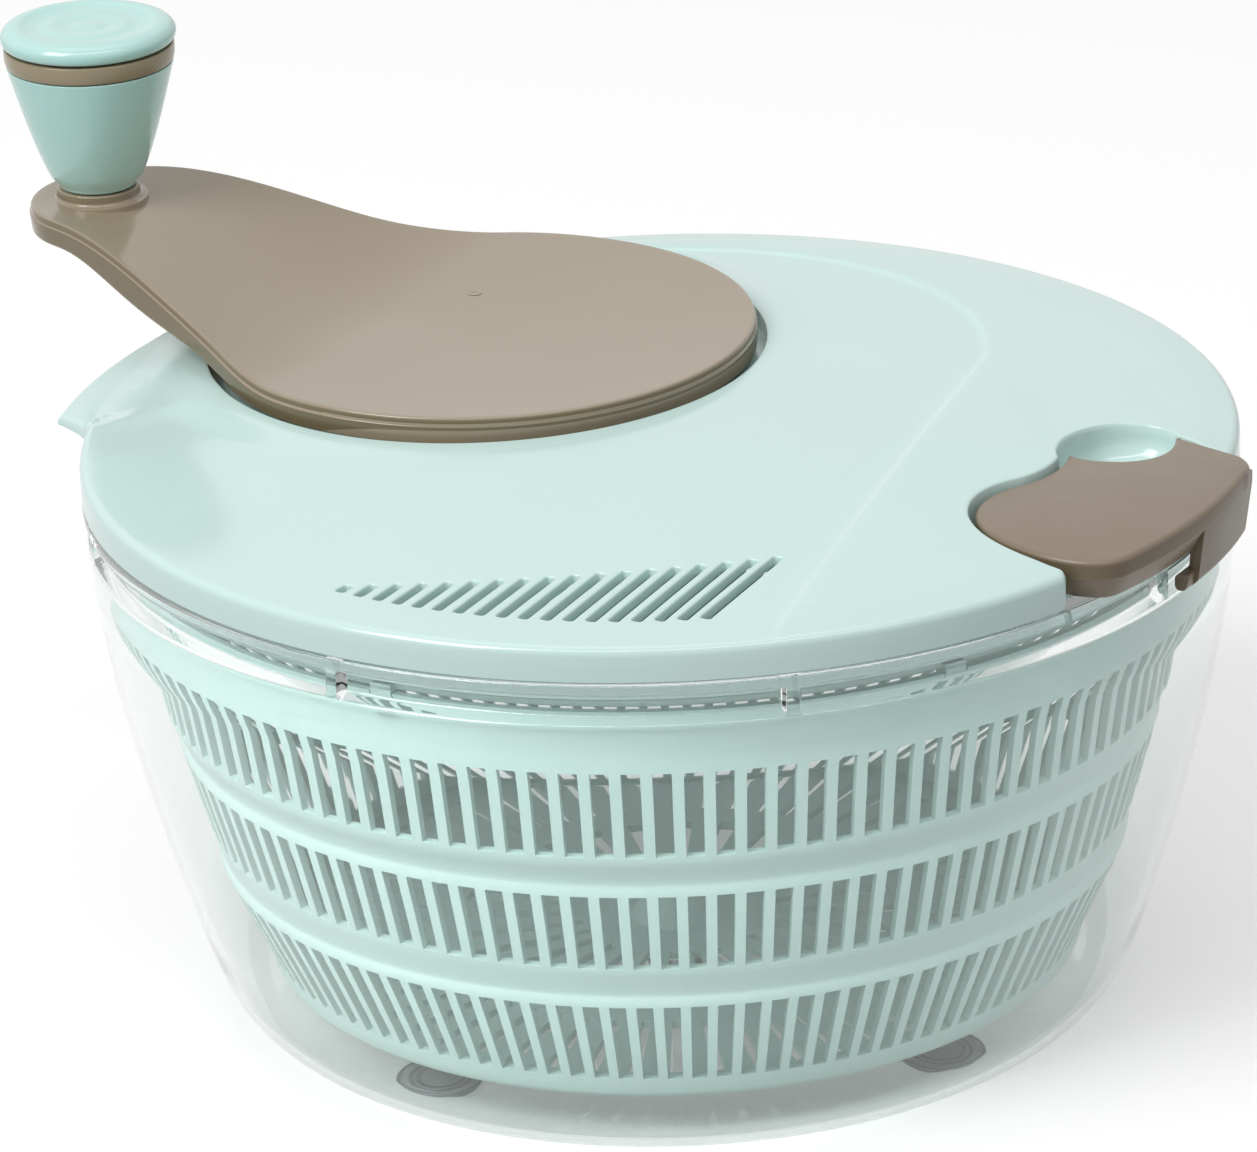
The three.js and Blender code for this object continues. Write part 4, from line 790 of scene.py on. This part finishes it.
def plate(outer, holes, low, high, soft, steps=3):
    """A flat plate between two heights. Its anticlockwise outline and its clockwise holes are carried up
    as walls whose edges are quarter circles, and constrained triangles fill its two faces."""
    quarter = np.linspace(0, np.pi / 2, steps + 1)
    insets, lifts = soft * (1 - np.sin(quarter)), soft * (1 - np.cos(quarter))
    insets = np.concatenate([insets, insets[::-1]])
    levels = np.concatenate([low + lifts, (high - lifts)[::-1]])
    parts = [(np.concatenate([np.column_stack([grown(loop, -inset), np.full(len(loop), level)])
                              for inset, level in zip(insets, levels)]),
              grid_faces(len(levels), len(loop))) for loop in (outer, *holes)]
    flat = [grown(loop, -soft) for loop in (outer, *holes)]
    corners, triangles = filled(*as_edges(flat), flat[0], flat[1:])
    for level, order in ((low, [0, 2, 1]), (high, [0, 1, 2])):
        parts.append((np.column_stack([corners, np.full(len(corners), level)]),
                      triangles[:, order].tolist()))
    return joined(parts)


def hole(centre, radius, sides=40):
    """Clockwise points round a hole."""
    return centre + polar(radius, full_turn(sides)[::-1])


def bright_steel():
    """Stainless steel, turned and polished: full metal, with fine tool marks drawn at 0.6 mm as faint
    patches of roughness, coarser than they are so that they show."""
    material, add = new_material("turned_stainless_steel")
    place = add("TexCoord").outputs["Object"]
    marks = add("TexNoise", {"Vector": place, "Scale": 1 / (0.6 * MM), "Detail": 2.0})
    rough = add("MapRange", {"Value": marks, "To Min": 0.18, "To Max": 0.36})
    body = add("BsdfPrincipled", {"Base Color": linear("c4c5c6"), "Metallic": 1.0, "Roughness": rough})
    add("OutputMaterial", {"Surface": body})
    return material


def refinish(node, material):
    """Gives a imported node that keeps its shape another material."""
    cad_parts[node].data.materials.clear()
    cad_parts[node].data.materials.append(material)


nylon = moulded_plastic("white_gear_nylon", "eeeeea", "e6e6e1", 0.42)
steel = bright_steel()
refinish("drive_gear", nylon)
refinish("drive_pinion", nylon)
cover_low, cover_high = box_mm("gear_cover")
holes = [hole(origin, 9.6), hole(crank_axis, 11.0), *[hole(place, 1.7, 20) for place in boss_places]]
make_piece("gear_case_cover", plate(case_outline(CASE_WALL), holes, cover_low[2], cover_high[2], 0.4), nylon,
           "lid", "gear_cover")


def ring(line, steps=4):
    """A closed line with softened corners that ends where it starts."""
    line = rounded(line, closed=True, steps=steps)
    return np.concatenate([line, line[:1]])


def screw_line(low, high, head, head_height=1.6, shank=1.4, thread=0.8):
    """Profile of a pan-head screw with its tip up: a domed head, then a shank with 0.8 mm threads."""
    seat = low + head_height
    turns = np.arange(seat + thread, high - 2 * thread, thread)
    threads = plain_line(np.tile([shank, shank - 0.25], len(turns)),
                         np.repeat(turns, 2) + np.tile([0, thread / 2], len(turns)))
    return rounded([(0, low + 0.5, 0), (0.9, low + 0.5, 0.2), (1.1, low, 0.2), (head * 0.72, low, 0.6),
                    (head, low + 0.8, 0.5), (head, seat, 0.15), (shank, seat, 0.1), *threads,
                    (shank, high - 1.2, 0), (0, high, 0)])


def washer_line(low, high, outer, bore=1.7):
    """Profile of a flat washer with broken edges."""
    return ring([(bore, low, 0.15), (outer, low, 0.2), (outer, high, 0.2), (bore, high, 0.15)], steps=2)


def axle_line(low, high, radius):
    """Profile of an axle with a broken edge at its foot and a chamfer at its top."""
    return [(0, low), (radius - 0.4, low), (radius, low + 0.4), (radius, high - 0.5), (radius - 0.5, high),
            (0, high)]


for node, name, body, line, sides in (
        *[(f"cover_screw_{number}", f"cover_pan_screw_{number}", "lid", screw_line, 36)
          for number in range(1, 5)],
        ("plate_screw", "plate_pan_screw", "lid", screw_line, 36),
        ("crank_screw", "crank_pan_screw", "crank", screw_line, 36),
        ("latch_screw", "latch_pan_screw", "latch", screw_line, 36),
        ("plate_washer", "plate_flat_washer", "lid", washer_line, 48),
        ("crank_washer", "crank_flat_washer", "crank", washer_line, 48),
        ("latch_washer", "latch_flat_washer", "latch", washer_line, 48),
        ("centre_axle", "ground_axle", "lid", axle_line, 40)):
    low, high = box_mm(node)
    profile = line(low[2], high[2], (high[0] - low[0]) / 2)
    make_piece(name, turned(profile, full_turn(sides), centre_of(node)), steel, body, node)

# ---- spin plate
# A mint disc on the pinion's hexagon. Eight slots let water through it, and six lugs on its edge drop
# into the notches of the basket's rim and turn it.
spin_low, spin_high = box_mm("drive_plate")
PLATE_RADIUS = 119.1
PLATE_THICK = 1.8
LUG_HALF = SLOT_HALF = 2.5
plate_top = rim_top + 0.3 + PLATE_THICK
lug_turn = np.degrees(np.arcsin(LUG_HALF / PLATE_RADIUS)) + 0.6


def block(inner, outer, bearing):
    """A rectangle as wide as a lug between two radii, turned to a bearing."""
    return facing([(inner, -LUG_HALF), (outer, -LUG_HALF), (outer, LUG_HALF), (inner, LUG_HALF)], bearing)


lug_bearings = 60 * np.arange(6)
spin_outline = np.concatenate([line for bearing in lug_bearings for line in (
    block(PLATE_RADIUS, rim_radius, bearing),
    polar(PLATE_RADIUS, bearing + np.linspace(lug_turn, 60 - lug_turn, 40)))])
slot_line = rounded([(37.0, SLOT_HALF, 1.2), (PLATE_RADIUS - 22, SLOT_HALF, 1.2),
                     (PLATE_RADIUS - 22, -SLOT_HALF, 1.2), (37.0, -SLOT_HALF, 1.2)], closed=True)
spin_holes = [hole(origin, 8.8, 6), *[facing(slot_line, bearing) for bearing in 22.5 + 45 * np.arange(8)]]
lugs = [plate(resampled(block(rim_radius - 4.0, rim_radius, bearing), 1.5), [], spin_low[2],
              plate_top - 0.3, 0.4) for bearing in lug_bearings]
hub_foot = plate_top - 3.8
hub_line = ring([(8.9, hub_foot, 0.2), (15.0, hub_foot, 0.5), (15.0, spin_high[2], 0.5),
                 (8.9, spin_high[2], 0.2)])
make_piece("spin_plate", joined([
    plate(spin_outline, spin_holes, plate_top - PLATE_THICK, plate_top, 0.4), *lugs,
    turned(hub_line, full_turn(64))]), basket_mint, "drive", "drive_plate")

# ---- crank
# The crank is one glossy taupe moulding: a dished disc that lies in the lid's well, an arm that climbs
# from it to the knob, a turned-down edge with a fine bead along its top, the disc's own rim carried on
# under the arm, a collar for the knob's axle, and a hub that passes through the lid into the gear.
ARM_BEARING = 153.3
ARM_LENGTH = 101.5
ARM_RISE = 19.3
DISC_RADIUS = 62.4
TIP_RADIUS = 22.5
TIP_CENTRE = 94.5
ARM_FLARE = 0.42
ARM_SOFT = 2.6
CRANK_WALL = 2.4
EDGE_DEPTH = 6.4
DISH = 2.2
HUB_FOOT = 127.7
KEY_FOOT, KEY_TOP = 122.6, 128.5  # six-sided end of the hub, in the gear
disc_top = collar_top + 5.1


def crank_reach(angle):
    """Distance from the crank's axis to its outline at an angle from the arm, in radians: the larger,
    softly joined, of the disc's radius and the arm's. The arm's straight sides touch its round tip and
    widen towards the disc, and past the point where they come nearest to the axis they fall away inside
    the disc."""
    sine, cosine = np.abs(np.sin(angle)), np.maximum(np.cos(angle), 1e-6)
    slope = np.hypot(1, ARM_FLARE)
    touch = np.array([TIP_CENTRE + TIP_RADIUS * ARM_FLARE / slope, TIP_RADIUS / slope])
    offset = touch[1] + ARM_FLARE * touch[0]
    tip = TIP_CENTRE * cosine + np.sqrt(np.clip(TIP_RADIUS ** 2 - (TIP_CENTRE * sine) ** 2, 0, None))
    arm = np.where(sine / cosine < touch[1] / touch[0], tip, offset / (sine + ARM_FLARE * cosine))
    past = np.abs(angle) - np.arctan(1 / ARM_FLARE)
    arm = np.where(past > 0, offset / slope * np.cos(np.clip(past, 0, np.pi / 2)), arm)
    return softer_max(np.full_like(arm, DISC_RADIUS), arm, ARM_SOFT)


turn = np.linspace(-1, 1, 240, endpoint=False)
crank_angles = np.sign(turn) * np.pi * np.abs(turn) ** 1.4
outline = crank_reach(crank_angles)


def crank_row(radius, drop, dished=True, deeper=0.0, level=None):
    """One ring of the crank at a distance from its axis, a drop below the arm's rise. The dish is deepest
    on the axis, by one minus the square of the share of the outline; an edge may be deeper, most of all
    half way up the arm's climb. Where a level is given, the ring is flat."""
    radius = np.broadcast_to(radius, crank_angles.shape)
    along = radius * np.cos(crank_angles)
    climb = smooth_step(along, 50, 100)
    height = ARM_RISE * smooth_step(along, 25, 100) - drop
    height -= deeper * (EDGE_DEPTH - 2.0 + 2.4 * 4 * climb * (1 - climb))
    height -= dished * DISH * (1 - np.clip(radius / outline, 0, 1) ** 2)
    return np.column_stack([along, radius * np.sin(crank_angles), height if level is None
                            else np.full_like(height, level)])


def face_rows(shares, edge_inset, drop):
    """Rings from the axis, at the given shares of the way out: they start as circles of the disc and take
    on the crank's outline with the square of the share."""
    return [crank_row(share * (DISC_RADIUS * (1 - share ** 2) + (outline - edge_inset) * share ** 2), drop)
            for share in shares]


edge_line = rounded([
    (3.6, CRANK_WALL, 0), (2.4, CRANK_WALL, 0.6), (2.4, EDGE_DEPTH, 0.4), (0.5, EDGE_DEPTH, 0.6),
    (0.0, 2.1, 0.3), (0.45, 1.75, 0.2), (0.45, 0.0, 1.1), (2.6, 0.0, 0)], steps=5)
shares = np.linspace(0, 1, 30)[:-1]
shell_rows = [*face_rows(shares, 3.6, CRANK_WALL), *[
    crank_row(outline - inset, min(drop, 2.0), inset > 1.0, max(drop - 2.0, 0) / (EDGE_DEPTH - 2.0))
    for inset, drop in edge_line], *face_rows(shares[::-1], 2.4, 0)]
RIM_TOP = 1.4  # the disc's rim reaches up to this far under the arm
rim_outer, rim_inner = DISC_RADIUS - 0.1, DISC_RADIUS - 2.0
rim_foot = crank_row(rim_outer - 0.4, 0, level=-EDGE_DEPTH)
rim_rows = [rim_foot, crank_row(rim_outer, 0, level=0.4 - EDGE_DEPTH), crank_row(rim_outer, RIM_TOP),
            crank_row(rim_inner, RIM_TOP), crank_row(rim_inner, 0, level=-EDGE_DEPTH), rim_foot]
collar_line = ring([
    (2.8, ARM_RISE - 2.0, 0), (11.7, ARM_RISE - 2.0, 0), (11.7, ARM_RISE - 0.4, 0),
    (9.9, ARM_RISE - 0.2, 0.8), (9.7, ARM_RISE + 2.2, 0.4), (2.8, ARM_RISE + 2.2, 0.3)])
gate_place = (13.9, -21.0)  # a shallow ring, 3.4 mm across, where the gate was trimmed
gate_top = 0.12 - DISH * (1 - (np.hypot(*gate_place) / DISC_RADIUS) ** 2)
gate_line = ring([
    (0.8, gate_top - 0.5, 0), (1.7, gate_top - 0.5, 0), (1.7, gate_top, 0.1), (0.8, gate_top, 0.1)])


def shaft(radius, low, high):
    """Profile of a plain shaft."""
    return [(0, low), (radius, low), (radius, high), (0, high)]


def tube(inner, outer, low, high):
    """Profile of a plain tube."""
    return [(inner, low), (outer, low), (outer, high), (inner, high), (inner, low)]


points, faces = joined([
    *[(np.concatenate(rows), grid_faces(len(rows), len(crank_angles))) for rows in (shell_rows, rim_rows)],
    *[turned(line, full_turn(sides), place) for line, sides, place in (
        (gate_line, 32, gate_place), (collar_line, 72, (ARM_LENGTH, 0)),
        (tube(2.8, 6.0, ARM_RISE - 9.0, ARM_RISE - 1.6), 36, (ARM_LENGTH, 0)),
        (shaft(9.0, HUB_FOOT - disc_top, -DISH - 1.2), 64, origin),
        (shaft(7.5, KEY_FOOT - disc_top, KEY_TOP - disc_top), 6, origin))]])
placed = np.column_stack([facing(points[:, :2], ARM_BEARING, crank_axis), points[:, 2] + disc_top])


def mark_sides(piece):
    """Stores at each corner of a piece how upright its surface is: 0 where the normal's upward share is
    above 0.45, 1 where it is below 0.12. A material with a side tone paints shade by it on the upright
    surfaces."""
    normals = np.empty(3 * len(piece.data.vertices))
    piece.data.vertices.foreach_get("normal", normals)
    upright = piece.data.attributes.new("upright", "FLOAT", "POINT")
    upright.data.foreach_set("value", np.clip(3 * (0.45 - np.abs(normals[2::3])), 0, 1))


# the crank's upright edges and sides take painted shade, the darker side tone 74664a
taupe = moulded_plastic("glossy_taupe_abs", "a0927d", "988a74", 0.13, strength=0.02, side="74664a")
mark_sides(make_piece("crank_handle", (placed, faces), taupe, "crank", "crank_arm", sharp=40))

# ---- knob
# The knob turns on a steel axle: a tapered mint grip, a taupe band round its neck, and a mint cap with a
# rounded shoulder, a raised rim and a shallow ring in the middle, pressed on over the axle's head.
knob_foot = box_mm("knob_body")[0][2]
grip_top = knob_foot + 30.0
GRIP_FOOT, GRIP_TOP = 9.2, 19.6
share = np.linspace(0.1, 0.985, 24)
grip_line = ring([
    (2.8, knob_foot, 0), (9.0, knob_foot, 0.5), (9.4, knob_foot + 0.9, 0.6),
    *plain_line(GRIP_FOOT + (GRIP_TOP - GRIP_FOOT) * share ** 0.74, knob_foot + 30.0 * share),
    (GRIP_TOP, grip_top, 0.35), (15.0, grip_top, 0), (15.0, grip_top + 4.6, 0.4), (5.4, grip_top + 4.6, 0.3),
    (5.4, grip_top - 6.0, 0), (2.8, grip_top - 6.0, 0)])
low, high = [corner[2] for corner in box_mm("knob_ring")]
band_line = ring([
    (15.3, low, 0), (19.6, low, 0.3), (19.95, low + 1.4, 0), (19.95, high, 0.4), (15.3, high, 0)])
low, high = [corner[2] for corner in box_mm("knob_cap")]
cap_line = rounded([
    (0, low, 0), (19.7, low, 0.4), (20.4, low + 0.8, 0.8), (20.6, high - 2.2, 1.6), (19.3, high - 0.6, 1.2),
    (16.4, high, 1.6), (14.6, high - 0.7, 1.2), (11.4, high - 1.1, 1.0), (9.0, high - 0.6, 0.9),
    (7.4, high - 0.75, 0.8), (4.6, high - 1.1, 0.8), (2.6, high - 0.7, 0.9), (0, high - 0.6, 0)], steps=5)
# the knob's upright grip and shoulder take painted shade, the darker side tone b2dfd8
knob_mint = moulded_plastic("mint_knob_abs", "bde2dc", "b6dcd6", 0.16, side="b2dfd8")
band_taupe = moulded_plastic("band_taupe_abs", "9a8c70", "92846a", 0.2)
for name, line, material, slot, node in (
        ("knob_grip", grip_line, knob_mint, "mint", "knob_body"),
        ("knob_band", band_line, band_taupe, "taupe", "knob_ring"),
        ("knob_button", cap_line, knob_mint, "mint", "knob_cap")):
    shape = turned(line, full_turn(128), centre_of("knob_cap"))
    mark_sides(make_piece(name, shape, material, "knob", node))
refinish("knob_axle", steel)

# ---- latch
# A taupe moulding that swings on a screw under the lid's edge. Its flat top lies in the recess, its
# outer edge turns down over the bowl's lip, and a hook at one end catches under the lip.
latch_top = lid_edge + 2.1
SCREW_BOSS_FOOT = 127.2
fascia_foot = bowl_top + 0.6
hook_foot = bowl_top - 7.4


def swept(profile, path, normal):
    """A closed profile of (outwards, height) carried along an open plan path: each of its points lies its
    distance out along the normal there. Both ends are closed."""
    closed = np.concatenate([profile, profile[:1]])
    plan = path + closed[:, :1, None] * normal
    points = np.concatenate([plan, np.broadcast_to(closed[:, 1:, None], (*plan.shape[:2], 1))], -1)
    first = np.arange(len(profile)) * len(normal)
    return points.reshape(-1, 3), [*grid_faces(len(closed), len(normal), open_sides=True), first.tolist(),
                                   (first[::-1] + len(normal) - 1).tolist()]


fascia = rounded([
    (-5.8, fascia_foot, 0.4), (-3.4, fascia_foot, 0.5), (-0.05, latch_under + 1, 1.5),
    (-0.05, latch_top - 1.4, 0), (-2.4, latch_top - 1.4, 0), (-2.4, latch_under + 1.0, 0)], closed=True)
fascia_path = facing(np.concatenate([
    near_side[-3:-1], curve_to(near_side[-1], latch_corner, edge_arc[0], 14), edge_arc]),
    LATCH_BEARING, latch_origin)
run = np.gradient(fascia_path, axis=0)
fascia_normal = np.stack([run[:, 1], -run[:, 0]], -1) / np.linalg.norm(run, axis=1)[:, None]
apron = rounded([
    (latch_edge - 4.4, hook_foot + 0.1, 0.3), (latch_edge - 3.3, hook_foot, 0.6),
    (latch_edge - 1.7, hook_foot + 1.6, 0.8), (latch_edge - 0.02, latch_under + 1, 1.5),
    (latch_edge - 0.02, latch_top - 1.6, 0), (latch_edge - 3.0, latch_top - 1.6, 0),
    (latch_edge - 3.9, hook_foot + 3.8, 0.4)], closed=True)
hook = rounded([
    (lid_radius + 0.6, hook_foot, 1.4), (latch_edge - 3.0, hook_foot, 1.2),
    (latch_edge - 2.0, hook_foot + 3.8, 1.2), (lid_radius + 0.6, hook_foot + 3.8, 1.4)],
    closed=True, steps=5)
latch_shape = joined([
    plate(facing(latch_plan, LATCH_BEARING, latch_origin), [], latch_under, latch_top, 1.3, steps=5),
    swept(fascia, fascia_path, fascia_normal),
    swept(apron, 0, polar(1.0, LATCH_BEARING + np.linspace(9.0, LATCH_END, 26))),
    swept(hook, 0, polar(1.0, LATCH_BEARING + np.linspace(7.5, LATCH_END - 0.2, 28))),
    turned(tube(1.7, 3.4, SCREW_BOSS_FOOT, latch_under + 1), full_turn(40), centre_of("latch_screw"))])
# the latch's upright fascia, hook and sides take painted shade, the darker side tone 655741
satin_taupe = moulded_plastic("satin_taupe_abs", "82735f", "7c6d5b", 0.36, strength=0.03, side="655741")
mark_sides(make_piece("lid_latch", latch_shape, satin_taupe, "latch", "latch", sharp=40))

# ---- floor, light and camera
# The spinner stands on a plain pale floor. A wide soft box to the left and front and an even pale room
# light it, and the camera looks down on it from the front with a long lens.
WHITE = (1.0, 1.0, 1.0, 1.0)
FLOOR_REACH = 9000.0


def seen_rays(add):
    """1 for the rays that show a surface to the camera, straight, mirrored or through glass, else 0."""
    path = add("LightPath").outputs
    direct = add("Math", {0: path["Is Camera Ray"], 1: path["Is Transmission Ray"]}, operation="MAXIMUM")
    return add("Math", {0: direct, 1: path["Is Glossy Ray"]}, operation="MAXIMUM")


def pale_floor():
    """A painted floor, matt and nearly white, which keeps the soft shadow of the bowl."""
    material, add = new_material("pale_painted_floor")
    seen = seen_rays(add)
    paint = add("Mix", {0: seen, 6: linear("b4b4b3"), 7: linear("d9d9d8")}, data_type="RGBA")
    body = add("BsdfPrincipled", {"Base Color": paint, "Roughness": 0.9, "Specular IOR Level": 0.0})
    lifted = add("AddShader", {0: body, 1: add("Emission", {"Color": WHITE, "Strength": 0.4})})
    add("OutputMaterial", {"Surface": add("MixShader", {0: seen, 1: body, 2: lifted})})
    return material


floor_z = box_mm("foot_1")[0][2]
floor_mesh = bpy.data.meshes.new("floor")
floor_mesh.from_pydata([(x * FLOOR_REACH * MM, y * FLOOR_REACH * MM, floor_z * MM) for x, y in (
    (-1, -1), (1, -1), (1, 1), (-1, 1))], [], [(0, 1, 2, 3)])
floor_mesh.materials.append(pale_floor())
place_object("floor", floor_mesh)

world = bpy.data.worlds.new("pale_room")
world.use_nodes = True
world.node_tree.nodes.clear()
add = partial(add_node, world.node_tree)
even, white = [add("Background", {"Color": WHITE, "Strength": strength}) for strength in (0.34, 1.0)]
add("OutputWorld", {"Surface": add("MixShader", {0: seen_rays(add), 1: even, 2: white})})
bpy.context.scene.world = world


def soft_box(name, place, width, height, power):
    """A rectangular soft box at a place, turned to face the middle of the bowl; lengths in metres."""
    lamp = bpy.data.lights.new(name, "AREA")
    lamp.shape = "RECTANGLE"
    lamp.size, lamp.size_y, lamp.energy = width, height, power
    away = np.array(place) - (0, 0, 0.1)
    away /= np.linalg.norm(away)
    right = np.cross((0, 0, 1), away)
    right /= np.linalg.norm(right)
    turn = Matrix(np.stack([right, np.cross(away, right), away], 1).tolist()).to_4x4()
    place_object(name, lamp, Matrix.Translation(place) @ turn)


soft_box("key_box", (-1.7, -1.3, 2.1), 1.3, 1.3, 48.0)
soft_box("front_strip", (0.3, -1.3, 2.6), 3.0, 0.22, 18.0)
soft_box("top_box", (0.1, 0.6, 2.4), 2.0, 1.4, 8.0)

CAMERA_DISTANCE = 1618.3
CAMERA_ELEVATION, CAMERA_PAN, CAMERA_ROLL = 22.084, -0.2861, -2.1593
AIM_HEIGHT = 96.73
elevation, pan, roll = np.radians([CAMERA_ELEVATION, CAMERA_PAN, CAMERA_ROLL])
right = np.array([1.0, 0, 0])
ahead = np.array([0, np.cos(elevation), -np.sin(elevation)])
above = np.cross(right, ahead)
place = np.array([0, 0, AIM_HEIGHT]) - CAMERA_DISTANCE * ahead
look = np.cos(pan) * ahead + np.sin(pan) * right
level = np.cos(pan) * right - np.sin(pan) * ahead
across = np.cos(roll) * level + np.sin(roll) * above
upwards = np.cos(roll) * above - np.sin(roll) * level
lens = bpy.data.cameras.new("camera")
lens.sensor_width = 36.0
lens.lens = 204.77
turn = Matrix(np.stack([across, upwards, -look], 1).tolist()).to_4x4()
bpy.context.scene.camera = place_object("camera", lens, Matrix.Translation((place * MM).tolist()) @ turn)
bpy.context.scene.view_settings.view_transform = "Standard"
